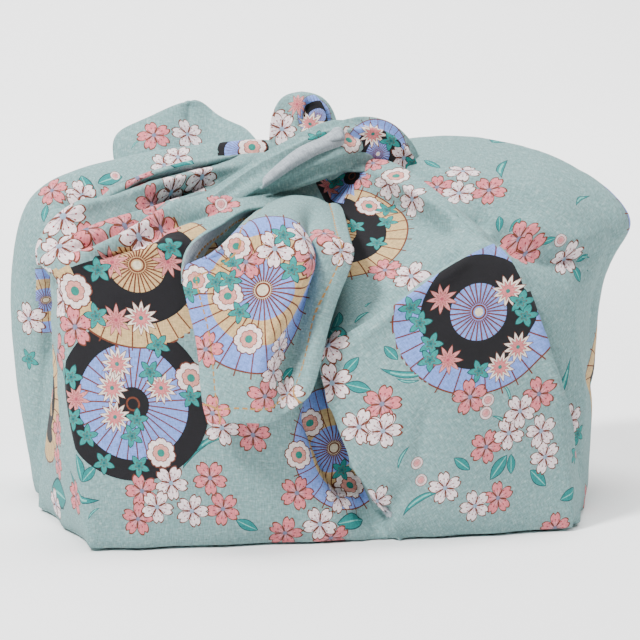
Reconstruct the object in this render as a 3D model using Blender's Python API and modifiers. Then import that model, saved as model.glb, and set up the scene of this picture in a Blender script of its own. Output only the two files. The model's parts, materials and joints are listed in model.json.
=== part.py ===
"""A furoshiki: one square cotton cloth wrapped over a box and tied by its four corners.

The cloth is one hollow sheet. Its body is a cage of fold lines that run from the
foot up to the knot, smoothed by subdivision and given its thickness. The tied ends
above and in front of it are smaller cages, joined to the body.
X runs to the right along the front, Y to the back, Z up. The origin is on the floor,
under the knot.
"""
import math
from collections import namedtuple

import bmesh
import bpy
from mathutils import Vector

# Driving sizes. The tables below are in millimetres, in the same frame.
MM = 0.001
CLOTH_THICKNESS = 2.0 * MM
TIED_END_THICKNESS = 2.2 * MM
BODY_SMOOTHING = 2
END_SMOOTHING = 1
FIT_ROUNDS = 4

# The body's fold lines, counter-clockwise seen from above, from the front left edge.
# foot stands on the floor; brow is the top edge of a side; crown is halfway over the
# top; neck is where the fold goes into the knot.
Fold = namedtuple("Fold", "name foot waist shoulder brow crown neck")
FOLDS = [
    Fold("front_left_edge", (-87, -60, 0), (-93, -62, 46), (-94, -61, 72), (-93, -61, 93),
         (-84, -51, 107), (-16, -16, 119)),
    Fold("panel_left", (-72, -62, 0), (-74, -66, 44), (-74, -66, 74), (-70, -63, 99),
         (-60, -49, 110), (-13, -18, 117)),
    Fold("panel_middle", (-43, -62, 0), (-44, -68, 41), (-45, -67, 70), (-44, -61, 97),
         (-36, -46, 107), (-9, -20, 115)),
    Fold("panel_right", (-13, -62, 0), (-19, -66, 34), (-21, -64, 58), (-22, -58, 82),
         (-20, -46, 97), (-5, -22, 110)),
    Fold("recess_left", (3, -61, 0), (-8, -59, 25), (-12, -55, 48), (-13, -50, 66),
         (-13, -43, 86), (-2, -23, 106)),
    Fold("recess_floor", (12, -60, 0), (4, -50, 21), (1, -44, 42), (-1, -40, 58),
         (-6, -38, 80), (0, -22, 103)),
    Fold("flap_border", (16, -62, 0), (-3, -69, 32), (-9, -69, 50), (-11, -67, 66),
         (1, -42, 87), (4, -22, 107)),
    Fold("flap_left", (29, -62, 0), (13, -72, 36), (10, -73, 58), (9, -70, 80),
         (13, -45, 91), (8, -20, 111)),
    Fold("flap_middle", (49, -61, 0), (37, -72, 42), (33, -72, 68), (29, -67, 93),
         (27, -45, 101), (12, -18, 117)),
    Fold("front_right_edge", (76, -58, 0), (69, -62, 46), (61, -63, 74), (50, -59, 101),
         (34, -41, 112), (16, -14, 123)),
    Fold("right_trough", (81, -50, 0), (77, -47, 43), (73, -42, 66), (66, -37, 88),
         (45, -25, 105), (18, -11, 117)),
    Fold("right_face", (88, -28, 0), (90, -22, 38), (92, -16, 70), (92, -20, 95),
         (64, -15, 116), (20, -7, 121)),
    Fold("right_wing", (95, 2, 0), (99, 2, 36), (103, 4, 80), (112, 5, 99),
         (80, 2, 118), (20, -2, 124)),
    Fold("right_back", (92, 32, 0), (99, 32, 38), (101, 32, 78), (107, 30, 98),
         (74, 20, 125), (18, 4, 125)),
    Fold("back_right_edge", (80, 58, 0), (86, 61, 40), (88, 59, 72), (85, 54, 102),
         (58, 32, 124), (14, 9, 122)),
    Fold("back_panel", (66, 61, 0), (66, 65, 42), (64, 64, 70), (60, 60, 94),
         (42, 40, 112), (10, 12, 118)),
    Fold("back_recess_floor", (2, 60, 0), (6, 52, 22), (6, 48, 42), (6, 45, 58),
         (4, 41, 84), (0, 15, 107)),
    Fold("back_flap_border", (-6, 62, 0), (8, 67, 32), (12, 67, 50), (13, 65, 66),
         (-2, 46, 90), (-5, 14, 110)),
    Fold("back_flap_middle", (-40, 62, 0), (-32, 70, 42), (-29, 70, 66), (-26, 65, 90),
         (-22, 46, 105), (-9, 12, 116)),
    Fold("back_left_edge", (-82, 59, 0), (-82, 64, 44), (-76, 63, 70), (-64, 58, 98),
         (-42, 40, 112), (-12, 9, 120)),
    Fold("left_puff_back", (-92, 48, 0), (-99, 48, 43), (-100, 48, 72), (-93, 44, 98),
         (-68, 32, 115), (-15, 7, 124)),
    Fold("left_puff_front", (-97, 32, 0), (-103, 30, 43), (-104, 29, 74), (-100, 27, 98),
         (-80, 20, 118), (-17, 4, 128)),
    Fold("left_puff_edge", (-96, 20, 0), (-96, 18, 41), (-96, 16, 75), (-93, 12, 102),
         (-70, 6, 113), (-18, 1, 123)),
    Fold("left_recess", (-92, 14, 0), (-79, 7, 40), (-78, 3, 76), (-79, -5, 97),
         (-68, -14, 104), (-17, -4, 112)),
    Fold("left_lip", (-98, 6, 0), (-94, 0, 39), (-93, -16, 66), (-99, -48, 91),
         (-92, -45, 110), (-28, -16, 127)),
    Fold("left_face", (-93, -26, 0), (-94, -34, 43), (-95, -45, 72), (-98, -56, 89),
         (-91, -53, 103), (-20, -17, 121)),
]
STATIONS = Fold._fields[1:]

# The mouth between the two rolls on the left is the body's one opening: the face
# from this fold to the next, between these two stations, is left out.
MOUTH_FOLD = "left_puff_edge"
MOUTH_STATION = "crown"

# How crisp each fold stays from the foot to the brow, and from the brow to the knot.
CRISP_SIDES = {
    "front_left_edge": 0.7,
    "recess_floor": 0.5,
    "flap_border": 1.0,
    "front_right_edge": 0.8,
    "left_puff_edge": 0.8,
    "left_recess": 0.5,
    "left_lip": 0.9,
    "back_right_edge": 0.4,
    "back_recess_floor": 0.5,
    "back_flap_border": 1.0,
    "back_left_edge": 0.7,
}
CRISP_TOPS = {
    "recess_floor": 0.4,
    "front_right_edge": 0.6,
    "right_trough": 0.4,
    "left_puff_edge": 0.8,
    "left_lip": 0.8,
}
# Ledges that run at the brow from the named fold to the next.
CRISP_BROWS = {
    "flap_border": 1.0,
    "flap_left": 0.9,
    "flap_middle": 0.8,
    "back_flap_border": 0.9,
    "back_flap_middle": 0.8,
    "left_lip": 0.6,
    "left_face": 0.6,
    "front_left_edge": 0.6,
    "panel_left": 0.5,
}

# The front tied end, a leaf of hemmed cloth that hangs over the front. Each row is a
# level from the knot down to the hem; each column is a line down the leaf.
Level = namedtuple("Level", "name left face fold hollow strip right")
FRONT_END = [
    Level("root", (-24, -30, 107), (-20, -31, 110), (-12, -32, 112), (-6, -31, 111),
          (-2, -30, 109), (2, -30, 107)),
    Level("crest", (-44, -60, 104), (-36, -66, 108), (-18, -70, 109), (-14, -63, 105),
          (-8, -65, 103), (0, -60, 100)),
    Level("shoulder", (-57, -68, 95), (-38, -77, 96), (-18, -80, 94), (-14, -67, 93),
          (-11, -71, 93), (-2, -68, 96)),
    Level("middle", (-55, -72, 80), (-40, -79, 77), (-24, -81, 78), (-17, -69, 77),
          (-12, -74, 78), (-7, -73, 79)),
    Level("low", (-52, -74, 61), (-40, -80, 60), (-29, -82, 61), (-21, -73, 60),
          (-16, -77, 63), (-10, -76, 67)),
    Level("hem", (-50, -74, 46), (-40, -78, 45), (-31, -79, 45), (-25, -77, 47),
          (-21, -78, 50), (-17, -77, 53)),
]

# The back tied end stands behind the left roll, creased down its middle.
Ear = namedtuple("Ear", "name left left_face crease right_face right")
BACK_END = [
    Ear("root", (-62, 26, 106), (-50, 22, 108), (-38, 24, 110), (-26, 18, 112), (-14, 10, 114)),
    Ear("middle", (-67, 38, 120), (-54, 31, 123), (-39, 36, 124), (-29, 34, 124), (-18, 24, 125)),
    Ear("top", (-63, 42, 128), (-52, 41, 133), (-38, 45, 138), (-30, 44, 133), (-22, 34, 129)),
]

# The knot's strands, ropes of gathered cloth. A strand is swept through its sections;
# side is the direction in which each section's half_width is measured.
Strand = namedtuple("Strand", "name side sections")
Section = namedtuple("Section", "x y z half_width half_height")
STRANDS = [
    Strand("knot_core", (0, 1, 0), [
        Section(-20, -8, 116, 8, 6), Section(-8, -8, 121, 12, 8),
        Section(8, -6, 122, 13, 9), Section(25, -2, 119, 9, 6),
    ]),
    Strand("left_wrap", (0.3, 0.4, 0.9), [
        Section(-30, -27, 113, 4, 3), Section(-16, -25, 119, 7, 4),
        Section(-2, -20, 124, 8, 5), Section(9, -12, 127, 6, 4),
    ]),
    Strand("loop", (1, 0, 0), [
        Section(-3, -4, 118, 11, 8), Section(-3, -1, 128, 12, 8),
        Section(-4, 1, 137, 10, 7), Section(-6, 2, 143, 5, 4),
    ]),
    Strand("right_wrap", (0.2, -0.6, 0.8), [
        Section(6, -9, 123, 8, 5), Section(17, -8, 126, 9, 7),
        Section(28, 1, 126, 8, 7), Section(38, 14, 124, 4, 3),
    ]),
]
SECTION_SIDES = 8

CLOTH_COLOUR = (0.33, 0.50, 0.50, 1.0)
CLOTH_ROUGHNESS = 0.9


def clear_scene():
    """Removes the objects of the open file."""
    for old in list(bpy.data.objects):
        bpy.data.objects.remove(old, do_unlink=True)


def new_collection(name):
    """A collection linked to the scene."""
    collection = bpy.data.collections.new(name)
    bpy.context.scene.collection.children.link(collection)
    return collection


def millimetres(point):
    """A table's point as a vector in metres."""
    return Vector(point) * MM


def mesh_object(name, cage, collection):
    """Turns a finished bmesh cage into a named object of a collection."""
    mesh = bpy.data.meshes.new(name)
    cage.to_mesh(mesh)
    cage.free()
    mesh.shade_smooth()
    piece = bpy.data.objects.new(name, mesh)
    collection.objects.link(piece)
    return piece


def crease_layer(cage):
    """The edge layer that Subdivision Surface reads sharpness from."""
    return cage.edges.layers.float.new("crease_edge")


def smooth(piece, levels):
    """Rounds a cage with a Subdivision Surface modifier."""
    modifier = piece.modifiers.new("Smooth folds", "SUBSURF")
    modifier.levels = levels
    modifier.render_levels = levels


def fit_cage(piece):
    """Pushes the cage outwards until the smoothed cloth passes through its table's points.

    Points on the floor keep their height, so that the underside stays flat.
    """
    targets = [vertex.co.copy() for vertex in piece.data.vertices]
    for _ in range(FIT_ROUNDS):
        smoothed_piece = piece.evaluated_get(bpy.context.evaluated_depsgraph_get())
        smoothed = smoothed_piece.to_mesh()
        misses = [target - smoothed.vertices[index].co for index, target in enumerate(targets)]
        smoothed_piece.to_mesh_clear()
        for vertex, miss in zip(piece.data.vertices, misses):
            if vertex.co.z == 0.0:
                miss.z = 0.0
            vertex.co += miss
        piece.data.update()


def thicken(piece, thickness, offset):
    """Gives a sheet its thickness. Offset -1 grows inwards and 0 to both sides."""
    modifier = piece.modifiers.new("Cloth thickness", "SOLIDIFY")
    modifier.thickness = thickness
    modifier.offset = offset
    modifier.use_even_offset = False


def cloth_body(collection):
    """The wrapped body: one cage line for each fold, open at the mouth and the knot."""
    cage = bmesh.new()
    crease = crease_layer(cage)
    lines = []
    for fold in FOLDS:
        lines.append([cage.verts.new(millimetres(point)) for point in fold[1:]])
    brow = STATIONS.index("brow")
    neck = STATIONS.index("neck")
    mouth = (MOUTH_FOLD, MOUTH_STATION)
    for index, fold in enumerate(FOLDS):
        line = lines[index]
        following = lines[(index + 1) % len(lines)]
        for level in range(neck):
            if (fold.name, STATIONS[level]) == mouth:
                continue
            cage.faces.new((line[level], following[level], following[level + 1], line[level + 1]))
        for level in range(neck):
            crisp = CRISP_SIDES if level < brow else CRISP_TOPS
            edge = cage.edges.get((line[level], line[level + 1]))
            edge[crease] = crisp.get(fold.name, 0.0)
        foot_edge = cage.edges.get((line[0], following[0]))
        foot_edge[crease] = 1.0
        brow_edge = cage.edges.get((line[brow], following[brow]))
        brow_edge[crease] = CRISP_BROWS.get(fold.name, 0.0)
    cage.faces.new([line[0] for line in reversed(lines)])
    cage.faces.new([line[neck] for line in lines])
    body = mesh_object("furoshiki_cloth", cage, collection)
    smooth(body, BODY_SMOOTHING)
    fit_cage(body)
    thicken(body, CLOTH_THICKNESS, -1.0)
    return body


def sheet_end(name, table, collection):
    """A tied end: a grid of cage points, a row for each entry of its table."""
    cage = bmesh.new()
    rows = [[cage.verts.new(millimetres(point)) for point in entry[1:]] for entry in table]
    for upper, lower in zip(rows, rows[1:]):
        for column in range(len(upper) - 1):
            cage.faces.new((upper[column], lower[column], lower[column + 1], upper[column + 1]))
    piece = mesh_object(name, cage, collection)
    smooth(piece, END_SMOOTHING)
    fit_cage(piece)
    thicken(piece, TIED_END_THICKNESS, 0.0)
    return piece


def section_ring(cage, section, tangent, side):
    """The cage points round one section of a strand."""
    centre = millimetres((section.x, section.y, section.z))
    side = (side - tangent * side.dot(tangent)).normalized()
    rise = tangent.cross(side)
    ring = []
    for corner in range(SECTION_SIDES):
        angle = math.tau * corner / SECTION_SIDES
        offset = side * (section.half_width * math.cos(angle))
        offset += rise * (section.half_height * math.sin(angle))
        ring.append(cage.verts.new(centre + offset * MM))
    return ring


def knot_strand(strand, collection):
    """A closed rope of cloth swept through a strand's sections."""
    cage = bmesh.new()
    side = Vector(strand.side).normalized()
    sections = strand.sections
    centres = [Vector(section[:3]) for section in sections]
    rings = []
    for index, section in enumerate(sections):
        before = centres[max(index - 1, 0)]
        after = centres[min(index + 1, len(centres) - 1)]
        rings.append(section_ring(cage, section, (after - before).normalized(), side))
    for ring, following in zip(rings, rings[1:]):
        for corner in range(SECTION_SIDES):
            beside = (corner + 1) % SECTION_SIDES
            cage.faces.new((ring[corner], ring[beside], following[beside], following[corner]))
    cage.faces.new(list(reversed(rings[0])))
    cage.faces.new(rings[-1])
    bmesh.ops.recalc_face_normals(cage, faces=cage.faces)
    piece = mesh_object(strand.name, cage, collection)
    smooth(piece, END_SMOOTHING)
    fit_cage(piece)
    return piece


def cloth_material():
    """Blue-green cotton, matt."""
    material = bpy.data.materials.new("cotton")
    material.use_nodes = True
    shader = material.node_tree.nodes["Principled BSDF"]
    shader.inputs["Base Color"].default_value = CLOTH_COLOUR
    shader.inputs["Roughness"].default_value = CLOTH_ROUGHNESS
    shader.inputs["Metallic"].default_value = 0.0
    return material


def join_to(body, ends):
    """Joins the tied ends to the body, so that the whole cloth is one solid."""
    modifier = body.modifiers.new("Joined ends", "BOOLEAN")
    modifier.operation = "UNION"
    modifier.operand_type = "COLLECTION"
    modifier.collection = ends
    modifier.solver = "EXACT"
    modifier.use_self = True
    for piece in ends.objects:
        piece.hide_render = True
        piece.display_type = "WIRE"


def main():
    """Builds the wrap."""
    clear_scene()
    wrap = new_collection("furoshiki_wrap")
    ends = new_collection("tied_ends")
    body = cloth_body(wrap)
    sheet_end("front_end", FRONT_END, ends)
    sheet_end("back_end", BACK_END, ends)
    for strand in STRANDS:
        knot_strand(strand, ends)
    join_to(body, ends)
    body.data.materials.append(cloth_material())


main()
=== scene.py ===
# %% [markdown]
# # A furoshiki, tied over a box
#
# A furoshiki is one square of cotton. It is laid under a box, its four corners are drawn up
# over the top, and they are tied there. Nothing is sewn but the hem. This lesson makes the
# cloth as it hangs on the box: the sheet with its folds first, then the tied ends, then the
# creases that the hands leave, and last the print and the weave.

import json
import math
from collections import namedtuple

import bmesh
import bpy
import numpy as np
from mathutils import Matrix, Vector, noise
from mathutils.bvhtree import BVHTree
from mathutils.interpolate import poly_3d_calc

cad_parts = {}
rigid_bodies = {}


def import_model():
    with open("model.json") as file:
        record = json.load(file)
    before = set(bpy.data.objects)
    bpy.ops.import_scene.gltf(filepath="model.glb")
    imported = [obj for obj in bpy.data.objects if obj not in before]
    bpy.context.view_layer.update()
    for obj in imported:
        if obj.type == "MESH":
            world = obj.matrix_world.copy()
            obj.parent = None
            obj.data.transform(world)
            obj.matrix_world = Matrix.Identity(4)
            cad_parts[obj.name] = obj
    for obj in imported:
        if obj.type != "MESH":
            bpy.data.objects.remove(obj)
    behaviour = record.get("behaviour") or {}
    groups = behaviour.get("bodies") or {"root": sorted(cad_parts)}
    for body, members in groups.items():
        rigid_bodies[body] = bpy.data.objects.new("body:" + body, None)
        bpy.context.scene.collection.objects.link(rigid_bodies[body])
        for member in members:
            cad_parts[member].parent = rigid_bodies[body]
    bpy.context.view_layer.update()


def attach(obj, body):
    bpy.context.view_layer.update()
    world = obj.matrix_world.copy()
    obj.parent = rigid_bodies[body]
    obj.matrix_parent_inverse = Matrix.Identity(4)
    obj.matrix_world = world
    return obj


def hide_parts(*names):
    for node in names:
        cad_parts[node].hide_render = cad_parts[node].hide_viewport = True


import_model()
MM = 0.001

# %% [markdown]
# ## The camera
#
# The wrap is seen from a little to its left and a little above, from about a metre away, with a
# long lens. The lens follows from the width of cloth that one pixel of the picture covers.

# %% Camera
PICTURE_WIDTH = 640
PIXEL = 0.3465 * MM
VIEW_DISTANCE = 1.1
VIEW_AIM = Vector((0.0, 0.0, 0.065))
SENSOR_WIDTH = 36.0
FRONT = (-10.0, 9.0)


def towards_viewer(azimuth, elevation):
    """The direction from the wrap to a viewer; azimuth 0 stands in front."""
    turn = math.radians(azimuth)
    rise = math.radians(elevation)
    return Vector((math.sin(turn) * math.cos(rise), -math.cos(turn) * math.cos(rise), math.sin(rise)))


camera_data = bpy.data.cameras.new("camera")
camera_data.sensor_width = SENSOR_WIDTH
camera_data.lens = SENSOR_WIDTH * VIEW_DISTANCE / (PICTURE_WIDTH * PIXEL)
camera_data.clip_start = 0.01
camera = bpy.data.objects.new("camera", camera_data)
camera.location = VIEW_AIM + towards_viewer(*FRONT) * VIEW_DISTANCE
camera.rotation_euler = towards_viewer(*FRONT).to_track_quat("Z", "Y").to_euler()
bpy.context.scene.collection.objects.link(camera)
bpy.context.scene.camera = camera
print("lens in mm:", round(camera_data.lens))

# %% [markdown]
# ## The folds of the body
#
# Cloth over a box is a few large folds that run from the floor up into the knot. Each row of
# this table is one of them, counter-clockwise from the front left edge, in millimetres: where it
# stands on the floor (foot), its middle (waist), its upper part (shoulder), the top edge of the
# side (brow), halfway over the top (crown) and where it enters the knot (neck). The last column
# names the stretch of cloth between this fold and the next.

# %% Fold table
Fold = namedtuple("Fold", "name foot waist shoulder brow crown neck panel")
FOLDS = [
    Fold("front_left_edge", (-87, -60, 0), (-93, -62, 46), (-94, -61, 72), (-93, -61, 93),
         (-84, -51, 107), (-16, -16, 119), "left"),
    Fold("panel_left", (-72, -62, 0), (-74, -66, 44), (-74, -66, 74), (-70, -63, 99),
         (-60, -49, 110), (-13, -18, 117), "left"),
    Fold("panel_middle", (-43, -62, 0), (-44, -68, 41), (-45, -67, 70), (-44, -61, 97),
         (-36, -46, 107), (-9, -20, 115), "left"),
    Fold("panel_right", (-13, -62, 0), (-19, -66, 34), (-21, -64, 58), (-22, -58, 82),
         (-20, -46, 97), (-5, -22, 110), "left"),
    Fold("recess_left", (3, -61, 0), (-8, -59, 25), (-12, -55, 48), (-13, -50, 66),
         (-13, -43, 86), (-2, -23, 106), "left"),
    Fold("recess_floor", (12, -60, 0), (4, -50, 21), (1, -44, 42), (-1, -40, 58),
         (-6, -38, 80), (0, -22, 103), "right"),
    Fold("flap_border", (16, -62, 0), (-3, -69, 32), (-9, -69, 50), (-11, -67, 66),
         (1, -42, 87), (4, -22, 107), "right"),
    Fold("flap_left", (29, -62, 0), (13, -72, 36), (10, -73, 58), (9, -70, 80),
         (13, -45, 91), (8, -20, 111), "right"),
    Fold("flap_middle", (49, -61, 0), (37, -72, 42), (33, -72, 68), (29, -67, 93),
         (27, -45, 101), (12, -18, 117), "right"),
    Fold("front_right_edge", (76, -58, 0), (69, -62, 46), (61, -63, 74), (50, -59, 101),
         (34, -41, 112), (16, -14, 123), "right"),
    Fold("right_trough", (81, -50, 0), (77, -47, 43), (73, -42, 66), (66, -37, 88),
         (45, -25, 105), (18, -11, 117), "right"),
    Fold("right_face", (88, -28, 0), (90, -22, 38), (92, -16, 70), (92, -20, 95),
         (64, -15, 116), (20, -7, 121), "right"),
    Fold("right_wing", (95, 2, 0), (99, 2, 36), (103, 4, 80), (112, 5, 97),
         (80, 2, 118), (20, -2, 124), "right"),
    Fold("right_back", (92, 32, 0), (99, 32, 38), (101, 32, 77), (104, 30, 95),
         (72, 20, 124), (18, 4, 125), "right"),
    Fold("back_right_edge", (80, 58, 0), (86, 61, 40), (88, 59, 72), (85, 54, 102),
         (58, 32, 124), (14, 9, 122), "right"),
    Fold("back_panel", (66, 61, 0), (66, 65, 42), (64, 64, 70), (60, 60, 94),
         (42, 40, 112), (10, 12, 118), "right"),
    Fold("back_recess_floor", (2, 60, 0), (6, 52, 22), (6, 48, 42), (6, 45, 58),
         (4, 41, 84), (0, 15, 107), "back"),
    Fold("back_flap_border", (-6, 62, 0), (8, 67, 32), (12, 67, 50), (13, 65, 66),
         (-2, 46, 90), (-5, 14, 110), "back"),
    Fold("back_flap_middle", (-40, 62, 0), (-32, 70, 42), (-29, 70, 66), (-26, 65, 90),
         (-22, 46, 105), (-9, 12, 116), "back"),
    Fold("back_left_edge", (-82, 59, 0), (-82, 64, 44), (-76, 63, 70), (-64, 58, 98),
         (-42, 40, 112), (-12, 9, 120), "back"),
    Fold("left_puff_back", (-92, 48, 0), (-99, 48, 43), (-100, 48, 72), (-93, 44, 98),
         (-68, 32, 115), (-15, 7, 124), "back"),
    Fold("left_puff_front", (-97, 32, 0), (-103, 30, 43), (-104, 29, 74), (-100, 27, 98),
         (-80, 20, 118), (-17, 4, 128), "back"),
    Fold("left_puff_edge", (-96, 20, 0), (-96, 18, 41), (-96, 16, 75), (-93, 12, 102),
         (-70, 6, 113), (-18, 1, 123), "back"),
    Fold("left_recess", (-92, 14, 0), (-79, 7, 40), (-78, 3, 76), (-79, -5, 97),
         (-68, -14, 104), (-17, -4, 112), "left"),
    Fold("left_lip", (-98, 6, 0), (-94, 0, 39), (-93, -16, 66), (-99, -48, 91),
         (-92, -45, 110), (-28, -16, 127), "left"),
    Fold("left_face", (-93, -26, 0), (-94, -34, 43), (-95, -45, 72), (-98, -56, 89),
         (-91, -53, 103), (-20, -17, 121), "left"),
]
STATIONS = Fold._fields[1:-1]
PANELS = ("left", "right", "back", "under")

# Where the folds stay crisp: from the foot to the brow, from the brow to the knot, and
# along the brow from the named fold to the next.
CRISP_SIDES = {
    "front_left_edge": 0.7, "recess_floor": 0.5, "flap_border": 1.0, "front_right_edge": 0.8,
    "left_puff_edge": 0.8, "left_recess": 0.5, "left_lip": 0.9, "back_right_edge": 0.4,
    "back_recess_floor": 0.5, "back_flap_border": 1.0, "back_left_edge": 0.7,
}
CRISP_TOPS = {
    "recess_floor": 0.4, "front_right_edge": 0.6, "right_trough": 0.4, "left_puff_edge": 0.8,
    "left_lip": 0.8,
}
CRISP_BROWS = {
    "flap_border": 1.0, "flap_left": 0.9, "flap_middle": 0.8, "back_flap_border": 0.9,
    "back_flap_middle": 0.8, "left_lip": 0.6, "left_face": 0.6, "front_left_edge": 0.6,
    "panel_left": 0.5,
}
MOUTH = ("left_puff_edge", "crown")
FOOT_CREASE = 0.9
print(len(FOLDS), "folds")

# %% [markdown]
# ## From a table to smooth cloth
#
# A soft form is easiest as a coarse cage under Subdivision Surface. The smoothing draws the
# cloth in from its cage, so the cage is first pushed out until the smooth cloth passes through
# the points of the table. The cloth is then unwrapped to find its flat pattern, in metres, so
# that the print and the weave lie on it as they would on the flat cloth.

# %% Cage helpers
FIT_ROUNDS = 4
PREVIEW_LEVELS = 2
PATTERN = "flat_pattern"


def read_numbers(items, name, width=1):
    """One property of many mesh items, as a list or as a table with a row for each item."""
    values = np.empty(len(items) * width)
    items.foreach_get(name, values)
    return values if width == 1 else values.reshape(-1, width)


def corners_of_faces(mesh, faces=slice(None)):
    """The four corner numbers of four-sided faces, a row for each face."""
    starts = read_numbers(mesh.polygons, "loop_start").astype(int)
    return starts[faces][:, None] + np.arange(4)


def make_piece(name, cage):
    """A finished bmesh cage as an object of the scene."""
    mesh = bpy.data.meshes.new(name)
    cage.to_mesh(mesh)
    cage.free()
    mesh.shade_smooth()
    piece = bpy.data.objects.new(name, mesh)
    bpy.context.scene.collection.objects.link(piece)
    return piece


def make_active(piece):
    """Selects one piece and nothing else."""
    bpy.ops.object.select_all(action="DESELECT")
    piece.select_set(True)
    bpy.context.view_layer.objects.active = piece


def fit_cage(piece, smoothing):
    """Pushes the cage out until the smooth cloth passes through its points."""
    smoothing.levels = PREVIEW_LEVELS
    targets = [vertex.co.copy() for vertex in piece.data.vertices]
    for _ in range(FIT_ROUNDS):
        smooth_piece = piece.evaluated_get(bpy.context.evaluated_depsgraph_get())
        smooth_mesh = smooth_piece.to_mesh()
        misses = [target - smooth_mesh.vertices[i].co for i, target in enumerate(targets)]
        smooth_piece.to_mesh_clear()
        for vertex, miss in zip(piece.data.vertices, misses):
            if vertex.co.z == 0.0:
                miss.z = 0.0
            vertex.co += miss
        piece.data.update()


def smooth_cloth(piece, levels, fitted=True):
    """Fits the cage and applies the smoothing."""
    smoothing = piece.modifiers.new("Smooth folds", "SUBSURF")
    if fitted:
        fit_cage(piece, smoothing)
    smoothing.levels = levels
    smoothing.render_levels = levels
    make_active(piece)
    bpy.ops.object.modifier_apply(modifier=smoothing.name)


def find_pattern(piece, finer=0):
    """Unwraps the cloth and scales each stretch of its flat pattern to metres."""
    mesh = piece.data
    mesh.uv_layers.new(name=PATTERN)
    make_active(piece)
    bpy.ops.object.mode_set(mode="EDIT")
    bpy.ops.mesh.select_all(action="SELECT")
    bpy.ops.uv.unwrap(method="MINIMUM_STRETCH")
    bpy.ops.object.mode_set(mode="OBJECT")
    if finer:
        smooth_cloth(piece, finer, fitted=False)
    mesh = piece.data
    panel = panel_of_faces(mesh)
    pattern = read_pattern(mesh)
    areas = read_numbers(mesh.polygons, "area")
    flat_areas = areas_on_pattern(pattern[corners_of_faces(mesh)])
    for number in np.unique(panel):
        faces = panel == number
        scale = math.sqrt(areas[faces].sum() / flat_areas[faces].sum())
        pattern[corners_of_faces(mesh, faces).ravel()] *= scale
    mesh.uv_layers[PATTERN].data.foreach_set("uv", pattern.ravel())
    mesh.update()


def read_pattern(mesh):
    """The flat pattern's coordinates, a row for each face corner."""
    return read_numbers(mesh.uv_layers[PATTERN].data, "uv", 2)


def areas_on_pattern(corners):
    """The area of each four-sided face, from its four corners on the flat pattern."""
    across = corners[:, 2] - corners[:, 0]
    along = corners[:, 3] - corners[:, 1]
    return np.abs(across[:, 0] * along[:, 1] - across[:, 1] * along[:, 0]) / 2


def panel_of_faces(mesh):
    """The number of the stretch of cloth that each face belongs to."""
    panel = np.zeros(len(mesh.polygons), int)
    if "panel" in mesh.attributes:
        mesh.attributes["panel"].data.foreach_get("value", panel)
    return panel


# %% [markdown]
# ## The body
#
# The body is one closed bag with a mouth on its left, between the two rolls. The flat pattern is
# cut where the real cloth turns in and is hidden: at the bottoms of the three deep folds, and
# round the foot, where only the underside lies beyond.

# %% Body
BODY_LEVELS = 3
BODY_FINER = 1


def body_cage(mouth=MOUTH):
    """The cage of the wrapped body, with its seams and crisp edges marked."""
    cage = bmesh.new()
    crease = cage.edges.layers.float.new("crease_edge")
    panel = cage.faces.layers.int.new("panel")
    lines = [[cage.verts.new(Vector(point) * MM) for point in fold[1:-1]] for fold in FOLDS]
    brow = STATIONS.index("brow")
    neck = STATIONS.index("neck")
    for ring in ([line[0] for line in reversed(lines)], [line[neck] for line in lines]):
        cage.faces.new(ring)[panel] = PANELS.index("under")
    for index, fold in enumerate(FOLDS):
        line = lines[index]
        following = lines[(index + 1) % len(lines)]
        for level in range(neck):
            if (fold.name, STATIONS[level]) == mouth:
                continue
            corners = (line[level], following[level], following[level + 1], line[level + 1])
            cage.faces.new(corners)[panel] = PANELS.index(fold.panel)
        for level in range(neck):
            crisp = CRISP_SIDES if level < brow else CRISP_TOPS
            edge = cage.edges.get((line[level], line[level + 1]))
            edge[crease] = crisp.get(fold.name, 0.0)
            edge.seam = FOLDS[index - 1].panel != fold.panel
        foot_edge = cage.edges.get((line[0], following[0]))
        foot_edge[crease] = FOOT_CREASE
        foot_edge.seam = True
        brow_edge = cage.edges.get((line[brow], following[brow]))
        brow_edge[crease] = CRISP_BROWS.get(fold.name, 0.0)
        cage.edges.get((line[neck], following[neck])).seam = True
    return cage


body = make_piece("wrapped_body", body_cage())
smooth_cloth(body, BODY_LEVELS)
find_pattern(body, BODY_FINER)
print("body:", len(body.data.polygons), "faces")

# %% [markdown]
# ## A stand-in for the layers underneath
#
# The real square lies in more than one layer over its box. A plain, coarse, smaller copy of
# the body stands in for the layers underneath. It isn't draped: it hangs about 10 mm inside the
# body, crosses it at the deep folds in the middle of the front and back, and shows in the mouth.
# The two are one object, so the sheet's area takes in both. Without the copy the cloth would
# be too small in area for its flat size.

# %% Stand-in
STAND_IN_SHARE = 0.84
STAND_IN_CENTRE = Vector((0.0, 0.0, 0.045))
STAND_IN_LEVELS = 1


def smaller_copy():
    """A smaller copy of the body's cage, coarse and without the mouth."""
    cage = body_cage(mouth=None)
    for vertex in cage.verts:
        vertex.co = STAND_IN_CENTRE + (vertex.co - STAND_IN_CENTRE) * STAND_IN_SHARE
    piece = make_piece("hidden_layer", cage)
    smooth_cloth(piece, STAND_IN_LEVELS, fitted=False)
    return piece


inner = smaller_copy()
for name, piece in (("body", body), ("stand-in", inner)):
    print(name, "in m2:", round(read_numbers(piece.data.polygons, "area").sum(), 3))

# %% [markdown]
# ## The tied ends
#
# One tied corner hangs over the front as a leaf, and its left hem curls back. Another stands up
# behind as a short creased ear, and at the knot a strip of hem shows its wrong side. Each is a
# small grid of points, smoothed and unwrapped like the body. The hems of the leaf are turned: a
# strip along the free edges is a little thicker, and drawn in where the stitches pull.

# %% Tied ends
END_LEVELS = 4
HEM_WIDTH = 4.6 * MM
HEM_RISE = 0.35 * MM
HEM_SLOPE = 0.5 * MM
HEM_DIP = 0.3 * MM
DIP_WIDTH = 0.7 * MM
NO_HEM = 1.0

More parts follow.
